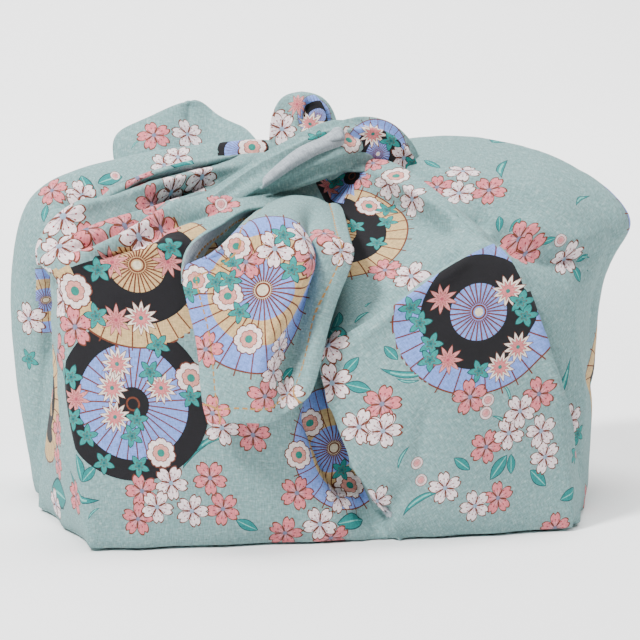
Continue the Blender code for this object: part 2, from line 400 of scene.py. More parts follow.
Level = namedtuple("Level", "name left face_left face fold hollow strip right")
FRONT_END = [
    Level("root", (-26, -32, 107), (-22, -31, 110), (-16, -31, 112), (-11, -32, 112),
          (-6, -31, 111), (-2, -30, 109), (2, -30, 107)),
    Level("crest", (-41, -70, 104), (-36, -69, 108), (-28, -67, 110), (-19, -64, 109),
          (-15, -60, 104), (-10, -62, 104), (-1, -60, 101)),
    Level("brow", (-50, -73, 98), (-42, -75, 101), (-30, -77, 103), (-18, -74, 103),
          (-14, -63, 99), (-13, -70, 101), (-1, -67, 98)),
    Level("shoulder", (-57, -70, 93), (-44, -76, 93), (-30, -79, 94), (-18, -80, 94),
          (-15, -66, 91), (-12, -71, 92), (-3, -69, 92)),
    Level("middle", (-54, -72, 77), (-44, -77, 77), (-33, -80, 77), (-26, -81, 79),
          (-19, -68, 77), (-14, -73, 78), (-9, -72, 79)),
    Level("low", (-52, -74, 61), (-45, -78, 61), (-38, -80, 61), (-32, -81, 62),
          (-24, -72, 61), (-18, -76, 62), (-13, -75, 65)),
    Level("hem", (-50, -75, 46), (-44, -78, 45), (-37, -79, 45), (-30, -79, 45),
          (-25, -77, 47), (-21, -78, 50), (-17, -77, 54)),
]
Turn = namedtuple("Turn", "name outer middle inner")
HEM_CURL = [
    Turn("shoulder", (-57, -71, 90), (-56, -70, 90), (-53, -67, 90)),
    Turn("bend", (-56, -70, 99), (-53, -68, 97), (-51, -64, 95)),
    Turn("top", (-49, -67, 105), (-47, -64, 104), (-46, -60, 101)),
    Turn("back", (-42, -60, 107), (-41, -57, 106), (-41, -54, 103)),
    Turn("behind", (-33, -51, 110), (-33, -48, 109), (-34, -46, 106)),
    Turn("root", (-20, -36, 109), (-21, -34, 108), (-22, -32, 106)),
]
Ear = namedtuple("Ear", "name left left_face crease right_face right")
BACK_END = [
    Ear("top", (-63, 42, 128), (-52, 41, 133), (-38, 45, 138), (-30, 44, 133), (-22, 34, 129)),
    Ear("middle", (-67, 38, 120), (-54, 31, 123), (-39, 36, 124), (-29, 34, 124), (-18, 24, 125)),
    Ear("root", (-62, 26, 106), (-50, 22, 108), (-38, 24, 110), (-26, 18, 112), (-14, 10, 114)),
]


def turn_hem(piece, sides):
    """Raises the turned hem along the named sides and notes where its stitches run."""
    mesh = piece.data
    points = read_numbers(mesh.vertices, "co", 3)
    normals = read_numbers(mesh.vertices, "normal", 3)
    column, row = (read_numbers(mesh.attributes[name].data, "value") for name in ("column", "row"))
    edges = {
        "left": (column < 0.001, row), "right": (column > column.max() - 0.001, row),
        "top": (row < 0.001, column), "bottom": (row > row.max() - 0.001, column),
    }
    gaps = np.full((len(points), 3), NO_HEM)
    runs = np.zeros((len(points), 3))
    for slot, side in enumerate(sides):
        on_side, order = edges[side]
        chain = np.flatnonzero(on_side)
        line = points[chain[np.argsort(order[chain])]]
        travel = np.append(0.0, np.cumsum(np.linalg.norm(np.diff(line, axis=0), axis=1)))
        distances = np.linalg.norm(points[:, None] - line[None], axis=2)
        gaps[:, slot] = distances.min(axis=1)
        runs[:, slot] = travel[distances.argmin(axis=1)]
    nearest = gaps.min(axis=1)
    rise = HEM_RISE * np.clip((HEM_WIDTH + HEM_SLOPE - nearest) / MM, 0.0, 1.0)
    rise -= HEM_DIP * np.exp(-((nearest - HEM_WIDTH) / DIP_WIDTH) ** 2)
    mesh.vertices.foreach_set("co", (points + normals * rise[:, None]).ravel())
    for name, values in (("hem_gap", gaps), ("hem_run", runs)):
        mesh.attributes.new(name, "FLOAT_VECTOR", "POINT").data.foreach_set("vector", values.ravel())
    mesh.update()


def sheet_end(name, table, hemmed):
    """A tied end, smoothed, unwrapped and hemmed, from a grid with a row for each table entry."""
    cage = bmesh.new()
    column = cage.verts.layers.float.new("column")
    row = cage.verts.layers.float.new("row")
    rows = [[cage.verts.new(Vector(point) * MM) for point in entry[1:]] for entry in table]
    for down, line in enumerate(rows):
        for across, vertex in enumerate(line):
            vertex[column], vertex[row] = across, down
    for upper, lower in zip(rows, rows[1:]):
        for across in range(len(upper) - 1):
            cage.faces.new((upper[across], lower[across], lower[across + 1], upper[across + 1]))
    piece = make_piece(name, cage)
    smooth_cloth(piece, END_LEVELS)
    find_pattern(piece)
    turn_hem(piece, hemmed)
    return piece


Strip = namedtuple("Strip", "name far_right right middle left far_left")
TURNED_HEM = [
    Strip("top", (3.5, -18.8, 132.9), (-2.8, -23.3, 130.8), (-10.8, -26.2, 127.8),
          (-18, -28.9, 123.1), (-24, -31.5, 118.2)),
    Strip("middle", (3.6, -21.4, 130.6), (-3.4, -25.8, 128.7), (-11.4, -29, 125.6),
          (-18.5, -31.4, 121.4), (-25, -33, 116.8)),
    Strip("bottom", (3.7, -21.5, 128.3), (-4, -25.9, 126.2), (-12, -28.7, 123),
          (-19, -31, 119.3), (-26, -33, 115.4)),
]

front_end = sheet_end("front_end", FRONT_END, ("left", "bottom", "right"))
hem_curl = sheet_end("hem_curl", HEM_CURL, ("left",))
back_end = sheet_end("back_end", BACK_END, ())
turned_hem = sheet_end("turned_hem", TURNED_HEM, ())
print("front end:", len(front_end.data.polygons), "faces")

# %% [markdown]
# ## The knot
#
# Each strand of the knot is cloth gathered into a rope. A rope is a ring of points swept through
# a few sections; its points are drawn in by uneven shares, which makes the pleats run along it.

# %% Knot
STRAND_LEVELS = 3
PLEATS = (0.0, 0.26, 0.04, 0.3, 0.1, 0.02, 0.28, 0.06, 0.22, 0.0, 0.32, 0.1, 0.03, 0.26, 0.05, 0.3)
STRAND_SIDES = len(PLEATS)

Strand = namedtuple("Strand", "name side sections")
Section = namedtuple("Section", "x y z half_width half_height")
STRANDS = [
    Strand("knot_core", (0, 1, 0), [
        Section(-20, -8, 116, 8, 6), Section(-8, -8, 121, 12, 8),
        Section(8, -6, 122, 13, 9), Section(22, -2, 119, 9, 6),
    ]),
    Strand("left_wrap", (0.3, 0.4, 0.9), [
        Section(-46, -37, 107, 4, 3), Section(-30, -29, 115, 7, 4.5),
        Section(-15, -24, 121, 8.5, 5), Section(0, -18, 126, 9.5, 6), Section(10, -11, 128, 7, 5),
    ]),
    Strand("loop", (1, 0, 0), [
        Section(-6, -4, 118, 12, 8), Section(-6, -1, 128, 13, 8),
        Section(-6, 1, 136.5, 11.5, 6.5), Section(-6, 2, 142.5, 7, 4.5),
    ]),
    Strand("right_wrap", (0.35, -0.3, 0.9), [
        Section(4, -13, 130, 6, 5), Section(13, -11, 129, 8.5, 6.5),
        Section(21, -9, 125, 8.5, 6.5), Section(29, -6, 118, 6, 5),
    ]),
]


def section_ring(cage, section, tangent, side):
    """The cage points round one section of a strand."""
    side = (side - tangent * side.dot(tangent)).normalized()
    rise = tangent.cross(side)
    ring = []
    for corner in range(STRAND_SIDES):
        angle = math.tau * corner / STRAND_SIDES
        drawn_in = 1.0 - PLEATS[corner]
        offset = side * (section.half_width * math.cos(angle))
        offset += rise * (section.half_height * math.sin(angle))
        ring.append(cage.verts.new((Vector(section[:3]) + offset * drawn_in) * MM))
    return ring


def knot_strand(strand):
    """A closed rope of gathered cloth, smoothed and unwrapped."""
    cage = bmesh.new()
    sections = strand.sections
    centres = [Vector(section[:3]) for section in sections]
    rings = []
    for index, section in enumerate(sections):
        before = centres[max(index - 1, 0)]
        after = centres[min(index + 1, len(centres) - 1)]
        tangent = (after - before).normalized()
        rings.append(section_ring(cage, section, tangent, Vector(strand.side).normalized()))
    for ring, following in zip(rings, rings[1:]):
        for corner in range(STRAND_SIDES):
            beside = (corner + 1) % STRAND_SIDES
            cage.faces.new((ring[corner], ring[beside], following[beside], following[corner]))
        cage.edges.get((ring[0], following[0])).seam = True
    for ring in (list(reversed(rings[0])), rings[-1]):
        for edge in cage.faces.new(ring).edges:
            edge.seam = True
    bmesh.ops.recalc_face_normals(cage, faces=cage.faces)
    piece = make_piece(strand.name, cage)
    smooth_cloth(piece, STRAND_LEVELS)
    find_pattern(piece)
    return piece


strands = [knot_strand(strand) for strand in STRANDS]
cloth_pieces = [body, front_end, hem_curl, back_end, turned_hem, *strands]
print([piece.name for piece in strands])

# %% [markdown]
# ## Finding a place on the cloth
#
# Creases and print are placed as on a picture of the wrap: a place is a side that the viewer
# stands on, and how far across and down a 640-pixel picture it lies. The helper sends a ray
# through that point and says which piece it meets, and where on the flat pattern that is.

# %% Places
VIEWS = {
    "front": FRONT, "right": (80.0, 9.0), "back": (170.0, 9.0), "left": (-100.0, 9.0),
    "top": (-10.0, 75.0),
}

Place = namedtuple("Place", "piece face point normal")


def view_axes(view):
    """The directions to the viewer, to the picture's right and up it."""
    azimuth, elevation = VIEWS[view]
    back = towards_viewer(azimuth, elevation)
    right = Vector((math.cos(math.radians(azimuth)), math.sin(math.radians(azimuth)), 0.0))
    return back, right, back.cross(right)


def picture_ray(view, across, down):
    """The viewer's eye and the direction through one point of a view's picture."""
    back, right, up = view_axes(view)
    middle = PICTURE_WIDTH / 2
    sideways = right * (across - middle) + up * (middle - down)
    return VIEW_AIM + back * VIEW_DISTANCE, (sideways * PIXEL / VIEW_DISTANCE - back).normalized()


def in_front_picture(points):
    """How far across and down the front's picture some points lie."""
    back, right, up = (np.array(axis) for axis in view_axes("front"))
    away = points - (np.array(VIEW_AIM) + back * VIEW_DISTANCE)
    scale = VIEW_DISTANCE / PIXEL / -(away @ back)
    return PICTURE_WIDTH / 2 + np.stack((away @ right * scale, away @ up * -scale), axis=1)


def search_trees():
    """A fast search for each piece, for the rays."""
    trees = {}
    for piece in cloth_pieces:
        points = [vertex.co for vertex in piece.data.vertices]
        faces = [face.vertices for face in piece.data.polygons]
        trees[piece.name] = BVHTree.FromPolygons(points, faces)
    return trees


def find_place(trees, view, across, down, piece=None):
    """The nearest place on any piece, or on one piece, along a view's ray, or None."""
    eye, direction = picture_ray(view, across, down)
    nearest, found = math.inf, None
    for name, tree in trees.items():
        if piece not in (None, name):
            continue
        point, normal, face, distance = tree.ray_cast(eye, direction)
        if point is not None and distance < nearest:
            nearest, found = distance, Place(name, face, point, normal)
    return found


trees = search_trees()
print("middle of the front:", find_place(trees, "front", 320, 320))

# %% [markdown]
# ## Creases
#
# The large folds are in the cage. The smaller ones are drawn on: each row is one crease as a
# line on a picture of one side, with its depth (down is negative) and its width in millimetres.
# The cloth along the line is pushed in or out and fades to both sides. Last, the whole cloth is
# a little uneven, as cotton is after it has been tied.

# %% Crease table
Crease = namedtuple("Crease", "view depth width line")
CREASES = [
    Crease("front", -9.0, 3.2, [(48, 204), (75, 198), (110, 189), (150, 173), (200, 160), (240, 152)]),
    Crease("front", 4.5, 3.6, [(45, 228), (75, 214), (110, 199), (150, 185), (200, 172), (245, 165)]),
    Crease("front", -6.0, 2.4, [(58, 254), (106, 231), (146, 211), (174, 195), (222, 179), (255, 171)]),
    Crease("front", 3.2, 2.2, [(64, 261), (94, 250), (122, 237), (148, 221), (170, 207), (200, 196)]),
    Crease("front", -5.5, 2.6, [(84, 264), (126, 248), (150, 234), (170, 219), (205, 208), (240, 199)]),
    Crease("front", 2.4, 2.0, [(58, 268), (94, 263), (150, 248), (185, 238)]),
    Crease("front", -6.0, 4.0, [(38, 262), (42, 291), (46, 334), (43, 375)]),
    Crease("front", -2.2, 3.4, [(44, 350), (42, 380), (37, 425), (30, 470)]),
    Crease("front", -3.5, 3.5, [(47, 272), (50, 300), (48, 330)]),
    Crease("front", 1.6, 2.5, [(60, 272), (62, 330), (62, 400), (68, 475), (80, 535)]),
    Crease("front", -1.5, 3.0, [(38, 500), (50, 512), (70, 520)]),
    Crease("front", -6.0, 4.5, [(338, 336), (370, 310), (400, 286), (441, 258), (474, 236)]),
    Crease("front", 2.6, 2.0, [(345, 352), (400, 306), (441, 278), (480, 252)]),
    Crease("front", 3.6, 2.6, [(360, 168), (400, 186), (440, 208), (482, 231)]),
    Crease("front", -4.5, 4.5, [(372, 192), (400, 206), (430, 222), (458, 236)]),
    Crease("front", 2.6, 2.4, [(495, 240), (520, 285), (543, 345), (562, 405), (576, 470)]),
    Crease("front", -5.0, 4.5, [(512, 252), (535, 290), (558, 350), (576, 410), (585, 480)]),
    Crease("front", -5.5, 5.0, [(440, 202), (480, 222), (512, 244), (560, 262), (604, 256)]),
    Crease("front", 2.4, 6.0, [(520, 222), (560, 240), (600, 238)]),
    Crease("front", 1.8, 9.0, [(430, 178), (480, 176), (540, 195), (590, 225)]),
    Crease("front", -1.6, 4.0, [(430, 162), (480, 166), (510, 168), (535, 156)]),
    Crease("front", -4.5, 5.0, [(300, 385), (312, 420), (328, 460), (352, 500)]),
    Crease("front", 1.8, 2.2, [(328, 380), (334, 431), (352, 462), (372, 490)]),
    Crease("front", -3.0, 5.0, [(352, 512), (376, 522), (396, 506), (400, 470)]),
    Crease("front", 1.8, 2.2, [(236, 521), (300, 526), (345, 534), (380, 536), (402, 520), (418, 505)]),
    Crease("front", -1.8, 5.0, [(430, 400), (420, 450), (426, 500)]),
    Crease("front", -1.2, 7.0, [(110, 300), (180, 330), (240, 420), (300, 520)]),
    Crease("front", -1.4, 5.0, [(90, 520), (160, 528), (230, 524)]),
    Crease("front", 1.0, 8.0, [(250, 430), (262, 470), (285, 515)]),
    Crease("front", -2.0, 2.0, [(300, 130), (310, 108), (316, 98)]),
    Crease("front", -2.5, 2.0, [(338, 127), (337, 138), (340, 150)]),
    Crease("front", -1.6, 2.0, [(190, 97), (190, 112), (188, 128)]),
    Crease("right", -3.0, 6.0, [(150, 180), (200, 260), (220, 350), (215, 450)]),
    Crease("right", 1.5, 5.0, [(260, 150), (270, 240), (275, 340), (280, 500)]),
    Crease("right", -2.0, 7.0, [(330, 150), (345, 250), (340, 380), (350, 480)]),
    Crease("right", 1.5, 5.0, [(400, 160), (420, 260), (430, 400)]),
    Crease("right", -2.0, 5.0, [(300, 420), (380, 450), (450, 500)]),
    Crease("back", -3.0, 5.0, [(250, 170), (200, 210), (140, 240)]),
    Crease("back", -2.5, 6.0, [(320, 180), (330, 260), (300, 340)]),
    Crease("back", 1.8, 4.0, [(380, 180), (450, 210), (520, 240)]),
    Crease("back", -2.5, 6.0, [(420, 170), (500, 190), (580, 230)]),
    Crease("back", -1.5, 7.0, [(120, 260), (150, 360), (130, 470)]),
    Crease("back", -1.5, 7.0, [(400, 300), (470, 400), (480, 500)]),
    Crease("back", 1.2, 5.0, [(230, 300), (260, 420), (300, 520)]),
    Crease("left", -3.0, 5.0, [(250, 190), (240, 280), (250, 380), (240, 480)]),
    Crease("left", 1.5, 5.0, [(200, 180), (180, 300), (190, 420)]),
    Crease("left", -2.0, 6.0, [(380, 230), (400, 330), (390, 440)]),
    Crease("left", 1.5, 5.0, [(440, 260), (450, 380), (440, 500)]),
]
CREASE_STEP = 4.0
CREASE_ROUND = 0.8
CREASE_FADE = 0.18
CREASE_END = 0.1
CREASE_FALL = 1.4
FLOOR_CALM = 6 * MM
Unevenness = namedtuple("Unevenness", "height spacing")
UNEVEN = [Unevenness(0.55, 26.0), Unevenness(0.22, 9.0)]


def crease_samples(trees, crease):
    """Points along a crease on the piece it mostly lies on, with normals and their fading."""
    found = []
    for (left, top), (right, bottom) in zip(crease.line, crease.line[1:]):
        count = max(2, round(math.hypot(right - left, bottom - top) / CREASE_STEP))
        for step in range(count):
            share = step / count
            across, down = left + (right - left) * share, top + (bottom - top) * share
            place = find_place(trees, crease.view, across, down)
            if place is not None:
                found.append(place)
    names = [place.piece for place in found]
    if not names:
        return None, []
    name = max(sorted(set(names)), key=names.count)
    kept = [place for place in found if place.piece == name]
    samples = []
    for index, place in enumerate(kept):
        share = index / max(len(kept) - 1, 1)
        fade = min(1.0, min(share, 1.0 - share) / CREASE_FADE + CREASE_END)
        samples.append((place.point, place.normal, fade))
    return name, samples


def press_creases(trees):
    """Moves every piece's points by the creases and the unevenness."""
    pushes = {piece.name: np.zeros(len(piece.data.vertices)) for piece in cloth_pieces}
    shapes = {
        piece.name: [read_numbers(piece.data.vertices, what, 3) for what in ("co", "normal")]
        for piece in cloth_pieces
    }
    for crease in CREASES:
        name, samples = crease_samples(trees, crease)
        if not samples:
            continue
        points, normals = shapes[name]
        line = np.array([point for point, _, _ in samples])
        facing = np.array([normal for _, normal, _ in samples])
        fades = np.array([fade for _, _, fade in samples])
        margin = 4 * crease.width * MM
        near = np.flatnonzero(((points > line.min(0) - margin) & (points < line.max(0) + margin)).all(1))
        gaps = np.linalg.norm(points[near][:, None] - line[None], axis=2) / MM
        closest = gaps.argmin(1)
        gap = gaps[np.arange(len(near)), closest]
        agrees = np.clip((normals[near] * facing[closest]).sum(1), 0.0, 1.0)
        profile = np.exp((CREASE_ROUND - np.hypot(gap, CREASE_ROUND)) / crease.width * CREASE_FALL)
        pushes[name][near] += crease.depth * MM * profile * fades[closest] * agrees
    for piece in cloth_pieces:
        points, normals = shapes[piece.name]
        push = pushes[piece.name]
        for wave in UNEVEN:
            bumps = [noise.noise(Vector(point) / (wave.spacing * MM)) for point in points]
            push += np.array(bumps) * wave.height * MM
        push *= np.clip(points[:, 2] / FLOOR_CALM, 0.0, 1.0)
        moved = points + normals * push[:, None]
        moved[:, 2] = np.maximum(moved[:, 2], 0.0)
        piece.data.vertices.foreach_set("co", moved.ravel())
        piece.data.update()
    return {name: round(float(np.abs(push).max() / MM), 1) for name, push in pushes.items()}


print("deepest push in mm:", press_creases(trees))
trees = search_trees()

# %% [markdown]
# ## The print as numbers on the cloth
#
# Each printed figure is a small drawing in its own coordinates: 0, 0 in its middle and 1 at its
# rim. For every figure, the faces under it are given those coordinates, so the drawing itself
# can be done once, in the material. Figures that overlap go to different layers,
# and faces that are pinched on the flat pattern stay plain.

# %% Print layers
EMPTY = 9.0
REACH = 1.2
PINCHED = 0.25
LEAF_SPREAD = 0.55
LEAF_REACH = (0.6, 0.45)
LAYERS = {"leaves": 2, "umbrellas": 2, "flowers": 4}


def inside(places, outline):
    """Which places of a picture lie inside an outline."""
    within = np.zeros(len(places), bool)
    across, down = places.T
    for (x0, y0), (x1, y1) in zip(outline, outline[1:] + outline[:1]):
        if y0 != y1:
            passed = (y0 > down) != (y1 > down)
            within ^= passed & (across < x0 + (down - y0) * (x1 - x0) / (y1 - y0))
    return within


def turned(angle):
    """The directions across and up, turned by an angle, as the columns of a table."""
    return np.array(((math.cos(angle), -math.sin(angle)), (math.sin(angle), math.cos(angle))))


class PrintedPiece:
    """A piece's face corners on the flat pattern, and the print layers to fill."""

    def __init__(self, piece):
        mesh = piece.data
        self.mesh = mesh
        self.faces = np.flatnonzero(read_numbers(mesh.polygons, "loop_total") == 4)
        self.row = np.full(len(mesh.polygons), -1)
        self.row[self.faces] = np.arange(len(self.faces))
        self.corners = corners_of_faces(mesh, self.faces)
        self.pattern = read_pattern(mesh)[self.corners]
        self.panel = panel_of_faces(mesh)[self.faces]
        self.middles = read_numbers(mesh.polygons, "center", 3)[self.faces]
        self.pictured = in_front_picture(self.middles)
        areas = read_numbers(mesh.polygons, "area")[self.faces]
        self.sound = areas_on_pattern(self.pattern) > PINCHED * areas
        self.layers = {
            f"{kind}_{number}": np.full((len(self.faces), 4, 3), EMPTY)
            for kind, count in LAYERS.items() for number in range(count)
        }
        self.printed = {name: [] for name in self.layers}

    def spot(self, place, view):
        """A place's panel and pattern point, and which way the picture's right runs there."""
        row = self.row[place.face]
        points = [self.mesh.vertices[v].co for v in self.mesh.polygons[place.face].vertices]
        shares = np.array(poly_3d_calc(points, place.point))
        here = shares @ self.pattern[row]
        azimuth = math.radians(VIEWS[view][0])
        rightwards = np.array((math.cos(azimuth), math.sin(azimuth), 0.0))
        edges = np.array([points[1] - points[0], points[3] - points[0]])
        steps = np.linalg.lstsq(edges.T, rightwards, rcond=None)[0]
        across = steps @ (self.pattern[row][[1, 3]] - self.pattern[row][0])
        return self.panel[row], here, math.atan2(across[1], across[0])

    def put(self, kind, number, panel, centre, size, turn, leaf=False, limit=None):
        """Prints one figure on the first layer of its kind that is free there."""
        ways = turned(turn)
        middle = centre + (ways[:, 0] * size / 2 if leaf else 0.0)
        width = size * (LEAF_SPREAD if leaf else 1.0)
        names = [f"{kind}_{layer}" for layer in range(LAYERS[kind])]
        free = [name for name in names if all(
            there != panel or np.hypot(*(middle - spot)) > REACH * (width + other)
            for there, spot, other in self.printed[name])]
        name = free[0] if free else names[-1]
        self.printed[name].append((panel, middle, width))
        local = (self.pattern - centre) @ ways / size
        if leaf:
            near = np.abs(local - (0.5, 0.0)) < LEAF_REACH
            under = near.all(axis=2).any(axis=1)
        else:
            under = (np.hypot(local[..., 0], local[..., 1]) < REACH).any(axis=1)
        under &= (self.panel == panel) & self.sound
        if limit is not None:
            under &= limit
        layer = self.layers[name]
        if not free:
            under &= np.hypot(layer[..., 0], layer[..., 1]).min(axis=1) > 1.0
        layer[under, :, :2] = local[under]
        layer[under, :, 2] = number

    def write(self):
        """Stores the layers on the mesh for the material to read."""
        for name, layer in self.layers.items():
            values = np.full((len(self.mesh.loops), 3), EMPTY)
            values[self.corners] = layer
            attribute = self.mesh.attributes.new(name, "FLOAT_VECTOR", "CORNER")
            attribute.data.foreach_set("vector", values.ravel())


# %% [markdown]
# ## What is printed where
#
# Large paper umbrellas first, then blossom and leaves. The front has a place for each figure,
# in pixels of its picture; the other sides have sprays, each laid out once in millimetres and
# put down many times, turned each time. A side's figure that would show in front is left out.

# %% Figures
UMBRELLAS = ("blue_in_black", "tan_round_black", "blue_round_black", "blue_and_tan")
FLOWERS = ("cherry_pink", "cherry_white", "peony", "star_pink", "star_white", "ivy", "bud")
LEAVES = ("broad", "blade")

WINDOWS = {
    "below_band": [
        (40, 275), (60, 268), (84, 263), (126, 246), (150, 232), (172, 217), (210, 208), (260, 208),
        (260, 420), (40, 420),
    ],
    "flap": [
        (345, 348), (400, 302), (441, 274), (478, 249), (500, 245), (525, 285), (620, 470), (345, 470),
    ],
    "right_edge": [(578, 380), (640, 380), (640, 510), (592, 510), (584, 455), (578, 400)],
    "left_gap": [(34, 264), (56, 264), (56, 335), (40, 335)],
}

Umbrella = namedtuple(
    "Umbrella", "view across down radius kind piece window", defaults=("wrapped_body", None))
UMBRELLA_PLACES = [
    Umbrella("front", 133, 404, 24.5, "blue_in_black"),
    Umbrella("front", 137, 265, 24, "tan_round_black", window="below_band"),
    Umbrella("front", 479, 312, 26, "blue_round_black", window="flap"),
    Umbrella("front", 263, 290, 26, "blue_and_tan", "front_end"),
    Umbrella("front", 334, 448, 22, "blue_and_tan"),
    Umbrella("front", 332, 234, 26, "tan_round_black"),
    Umbrella("front", 554, 438, 18, "tan_round_black", window="right_edge"),
    Umbrella("front", 46, 300, 12, "blue_and_tan", window="left_gap"),
    Umbrella("front", 243, 152, 9, "blue_in_black", None),
    Umbrella("front", 378, 154, 13, "blue_round_black", "right_wrap"),
    Umbrella("front", 318, 116, 8, "blue_round_black", "loop"),
    Umbrella("front", 352, 176, 14, "blue_in_black", None),
    Umbrella("right", 416, 440, 24, "tan_round_black"),
    Umbrella("right", 470, 290, 22, "blue_round_black"),
    Umbrella("back", 200, 300, 24, "blue_in_black"),
    Umbrella("back", 300, 230, 24, "tan_round_black"),
    Umbrella("back", 450, 360, 26, "blue_round_black"),
    Umbrella("back", 560, 470, 24, "blue_and_tan"),
    Umbrella("left", 190, 300, 24, "blue_and_tan"),
    Umbrella("left", 400, 430, 24, "tan_round_black"),
    Umbrella("top", 180, 200, 22, "blue_round_black"),
]

FLOWER_SIZES = {
    "cherry_pink": 6.2, "cherry_white": 6.2, "peony": 5.2, "star_pink": 5.0, "star_white": 5.4,
    "ivy": 4.0, "bud": 2.2,
}
FRONT_FLOWERS = {
    "cherry_pink": [
        (86, 229), (72, 246), (152, 204), (125, 226), (161, 229), (137, 177), (154, 136), (58, 351),
        (58, 431), (58, 463), (76, 497), (75, 327), (142, 491), (210, 478), (223, 509), (138, 519),
        (253, 435), (297, 493), (285, 533), (331, 538), (382, 404), (498, 498), (486, 447),
        (555, 528), (539, 394), (470, 397), (585, 500), (519, 239), (525, 254), (489, 190),
        (437, 187), (360, 178), (385, 270), (206, 349), (264, 396), (246, 262), (310, 257),
        (324, 235), (213, 413), (373, 163), (222, 206),
    ],
    "cherry_white": [
        (63, 216), (59, 246), (41, 258), (202, 177), (171, 193), (139, 237), (164, 165), (178, 157),
        (187, 135), (252, 133), (271, 122), (282, 129), (225, 119), (29, 319), (56, 504), (171, 483),
        (157, 507), (192, 511), (222, 428), (338, 497), (320, 524), (377, 501), (308, 543),
        (359, 427), (384, 430), (332, 383), (328, 345), (383, 431), (445, 488), (475, 506),
        (509, 433), (541, 431), (520, 411), (545, 457), (569, 529), (564, 259), (463, 171),
        (459, 193), (412, 199), (388, 183), (404, 158), (411, 276), (288, 394), (272, 372),
        (278, 348), (275, 249), (303, 239), (340, 251), (64, 300),
    ],
    "peony": [
        (75, 291), (191, 378), (161, 453), (310, 423), (299, 455), (350, 485), (369, 206),
        (197, 280), (228, 296), (249, 339), (252, 147), (349, 140), (396, 176), (236, 246),
    ],
    "star_pink": [
        (116, 320), (168, 262), (112, 262), (442, 299), (448, 360), (328, 187), (76, 399), (297, 104),
    ],
    "star_white": [
        (141, 318), (117, 364), (161, 388), (115, 417), (508, 291), (500, 367), (518, 347),
        (310, 124), (373, 134), (112, 388),
    ],
    "ivy": [
        (71, 377), (73, 419), (87, 436), (104, 463), (139, 466), (158, 345), (191, 397), (150, 372),
        (137, 420), (132, 436), (98, 270), (171, 248), (96, 316), (411, 308), (420, 323), (431, 344),
        (430, 360), (479, 371), (521, 302), (525, 316), (387, 210), (387, 222), (377, 243),
        (355, 226), (336, 181), (216, 282), (230, 280), (240, 312), (189, 292), (233, 264),
        (283, 236), (292, 270), (317, 134), (391, 141), (412, 164), (578, 434), (575, 454), (29, 359),
        (342, 470),
    ],
    "bud": [(488, 400), (486, 413), (421, 480), (417, 463), (221, 204), (561, 240)],
}
FRONT_LEAVES = {
    "broad": [
        (82, 482, 76, 454), (82, 482, 96, 466), (337, 524, 363, 520), (345, 384, 371, 390),
        (332, 333, 339, 312), (330, 330, 348, 340), (343, 375, 359, 357), (507, 455, 490, 480),
        (511, 454, 511, 474), (576, 262, 588, 254), (572, 266, 580, 282),
        (165, 176, 192, 168), (47, 205, 44, 222), (46, 222, 44, 236),
        (499, 232, 499, 216), (509, 232, 521, 218), (540, 244, 556, 238), (281, 380, 294, 368),
        (48, 428, 44, 408), (66, 500, 52, 488), (150, 470, 140, 450), (236, 520, 258, 530),
        (300, 545, 322, 534), (398, 360, 384, 346), (470, 470, 454, 458), (530, 470, 546, 486),
        (560, 500, 574, 488), (60, 360, 66, 382), (196, 330, 206, 318), (440, 168, 424, 160),
    ],
    "blade": [
        (502, 178, 508, 160), (576, 206, 590, 196), (572, 262, 590, 258), (572, 264, 588, 272),
        (183, 469, 219, 438), (403, 516, 440, 492), (420, 380, 396, 378), (432, 370, 380, 368),
        (390, 392, 402, 376), (354, 324, 370, 312), (356, 318, 372, 302), (233, 124, 260, 121),
        (196, 452, 232, 436), (180, 462, 176, 430), (462, 378, 470, 352), (398, 470, 410, 446),
        (100, 500, 70, 470), (132, 150, 142, 140), (502, 384, 510, 402), (492, 416, 508, 428),
        (88, 520, 100, 508),
    ],
}

Figure = namedtuple("Figure", "kind right up size turn")
SPRAYS = {
    "full": [
        Figure("broad", -6, 8, 13, 120), Figure("broad", 4, -12, 12, -80),
        Figure("broad", -8, -8, 11, -130), Figure("blade", 12, 4, 26, 30),
        Figure("cherry_pink", -12, 4, 6.2, 20), Figure("cherry_pink", 9, 13, 6.0, 80),
        Figure("cherry_white", 0, 2, 6.4, 0), Figure("cherry_white", 11, 1, 6.2, 40),
        Figure("cherry_pink", -7, -9, 6.2, 65), Figure("cherry_white", 4, -9, 6.0, 15),
        Figure("bud", -14, 14, 2.2, 0),
    ],
    "loose": [
        Figure("broad", -5, -5, 12, 200), Figure("broad", 8, 6, 12, 60),
        Figure("cherry_pink", -9, 2, 6.2, 10), Figure("cherry_white", 3, -2, 6.4, 50),
        Figure("cherry_pink", 12, -8, 6.0, 30), Figure("cherry_white", 2, 10, 6.0, 70),
        Figure("bud", -13, -9, 2.2, 0),
    ],
    "pair": [
        Figure("broad", -4, -4, 11, 230), Figure("blade", 6, 2, 20, 15),
        Figure("cherry_pink", -3, 3, 6.2, 0), Figure("cherry_white", 7, -4, 6.0, 40),
    ],
    "garland": [
        Figure("ivy", -9, 5, 3.2, 0), Figure("ivy", -5, 9, 3.0, 30), Figure("ivy", 8, -4, 3.2, 60),
        Figure("star_pink", 0, 5, 4.4, 0), Figure("star_white", 6, 2, 4.8, 20),
        Figure("peony", -5, -3, 4.8, 0), Figure("ivy", 1, -7, 3.2, 80),
    ],
}

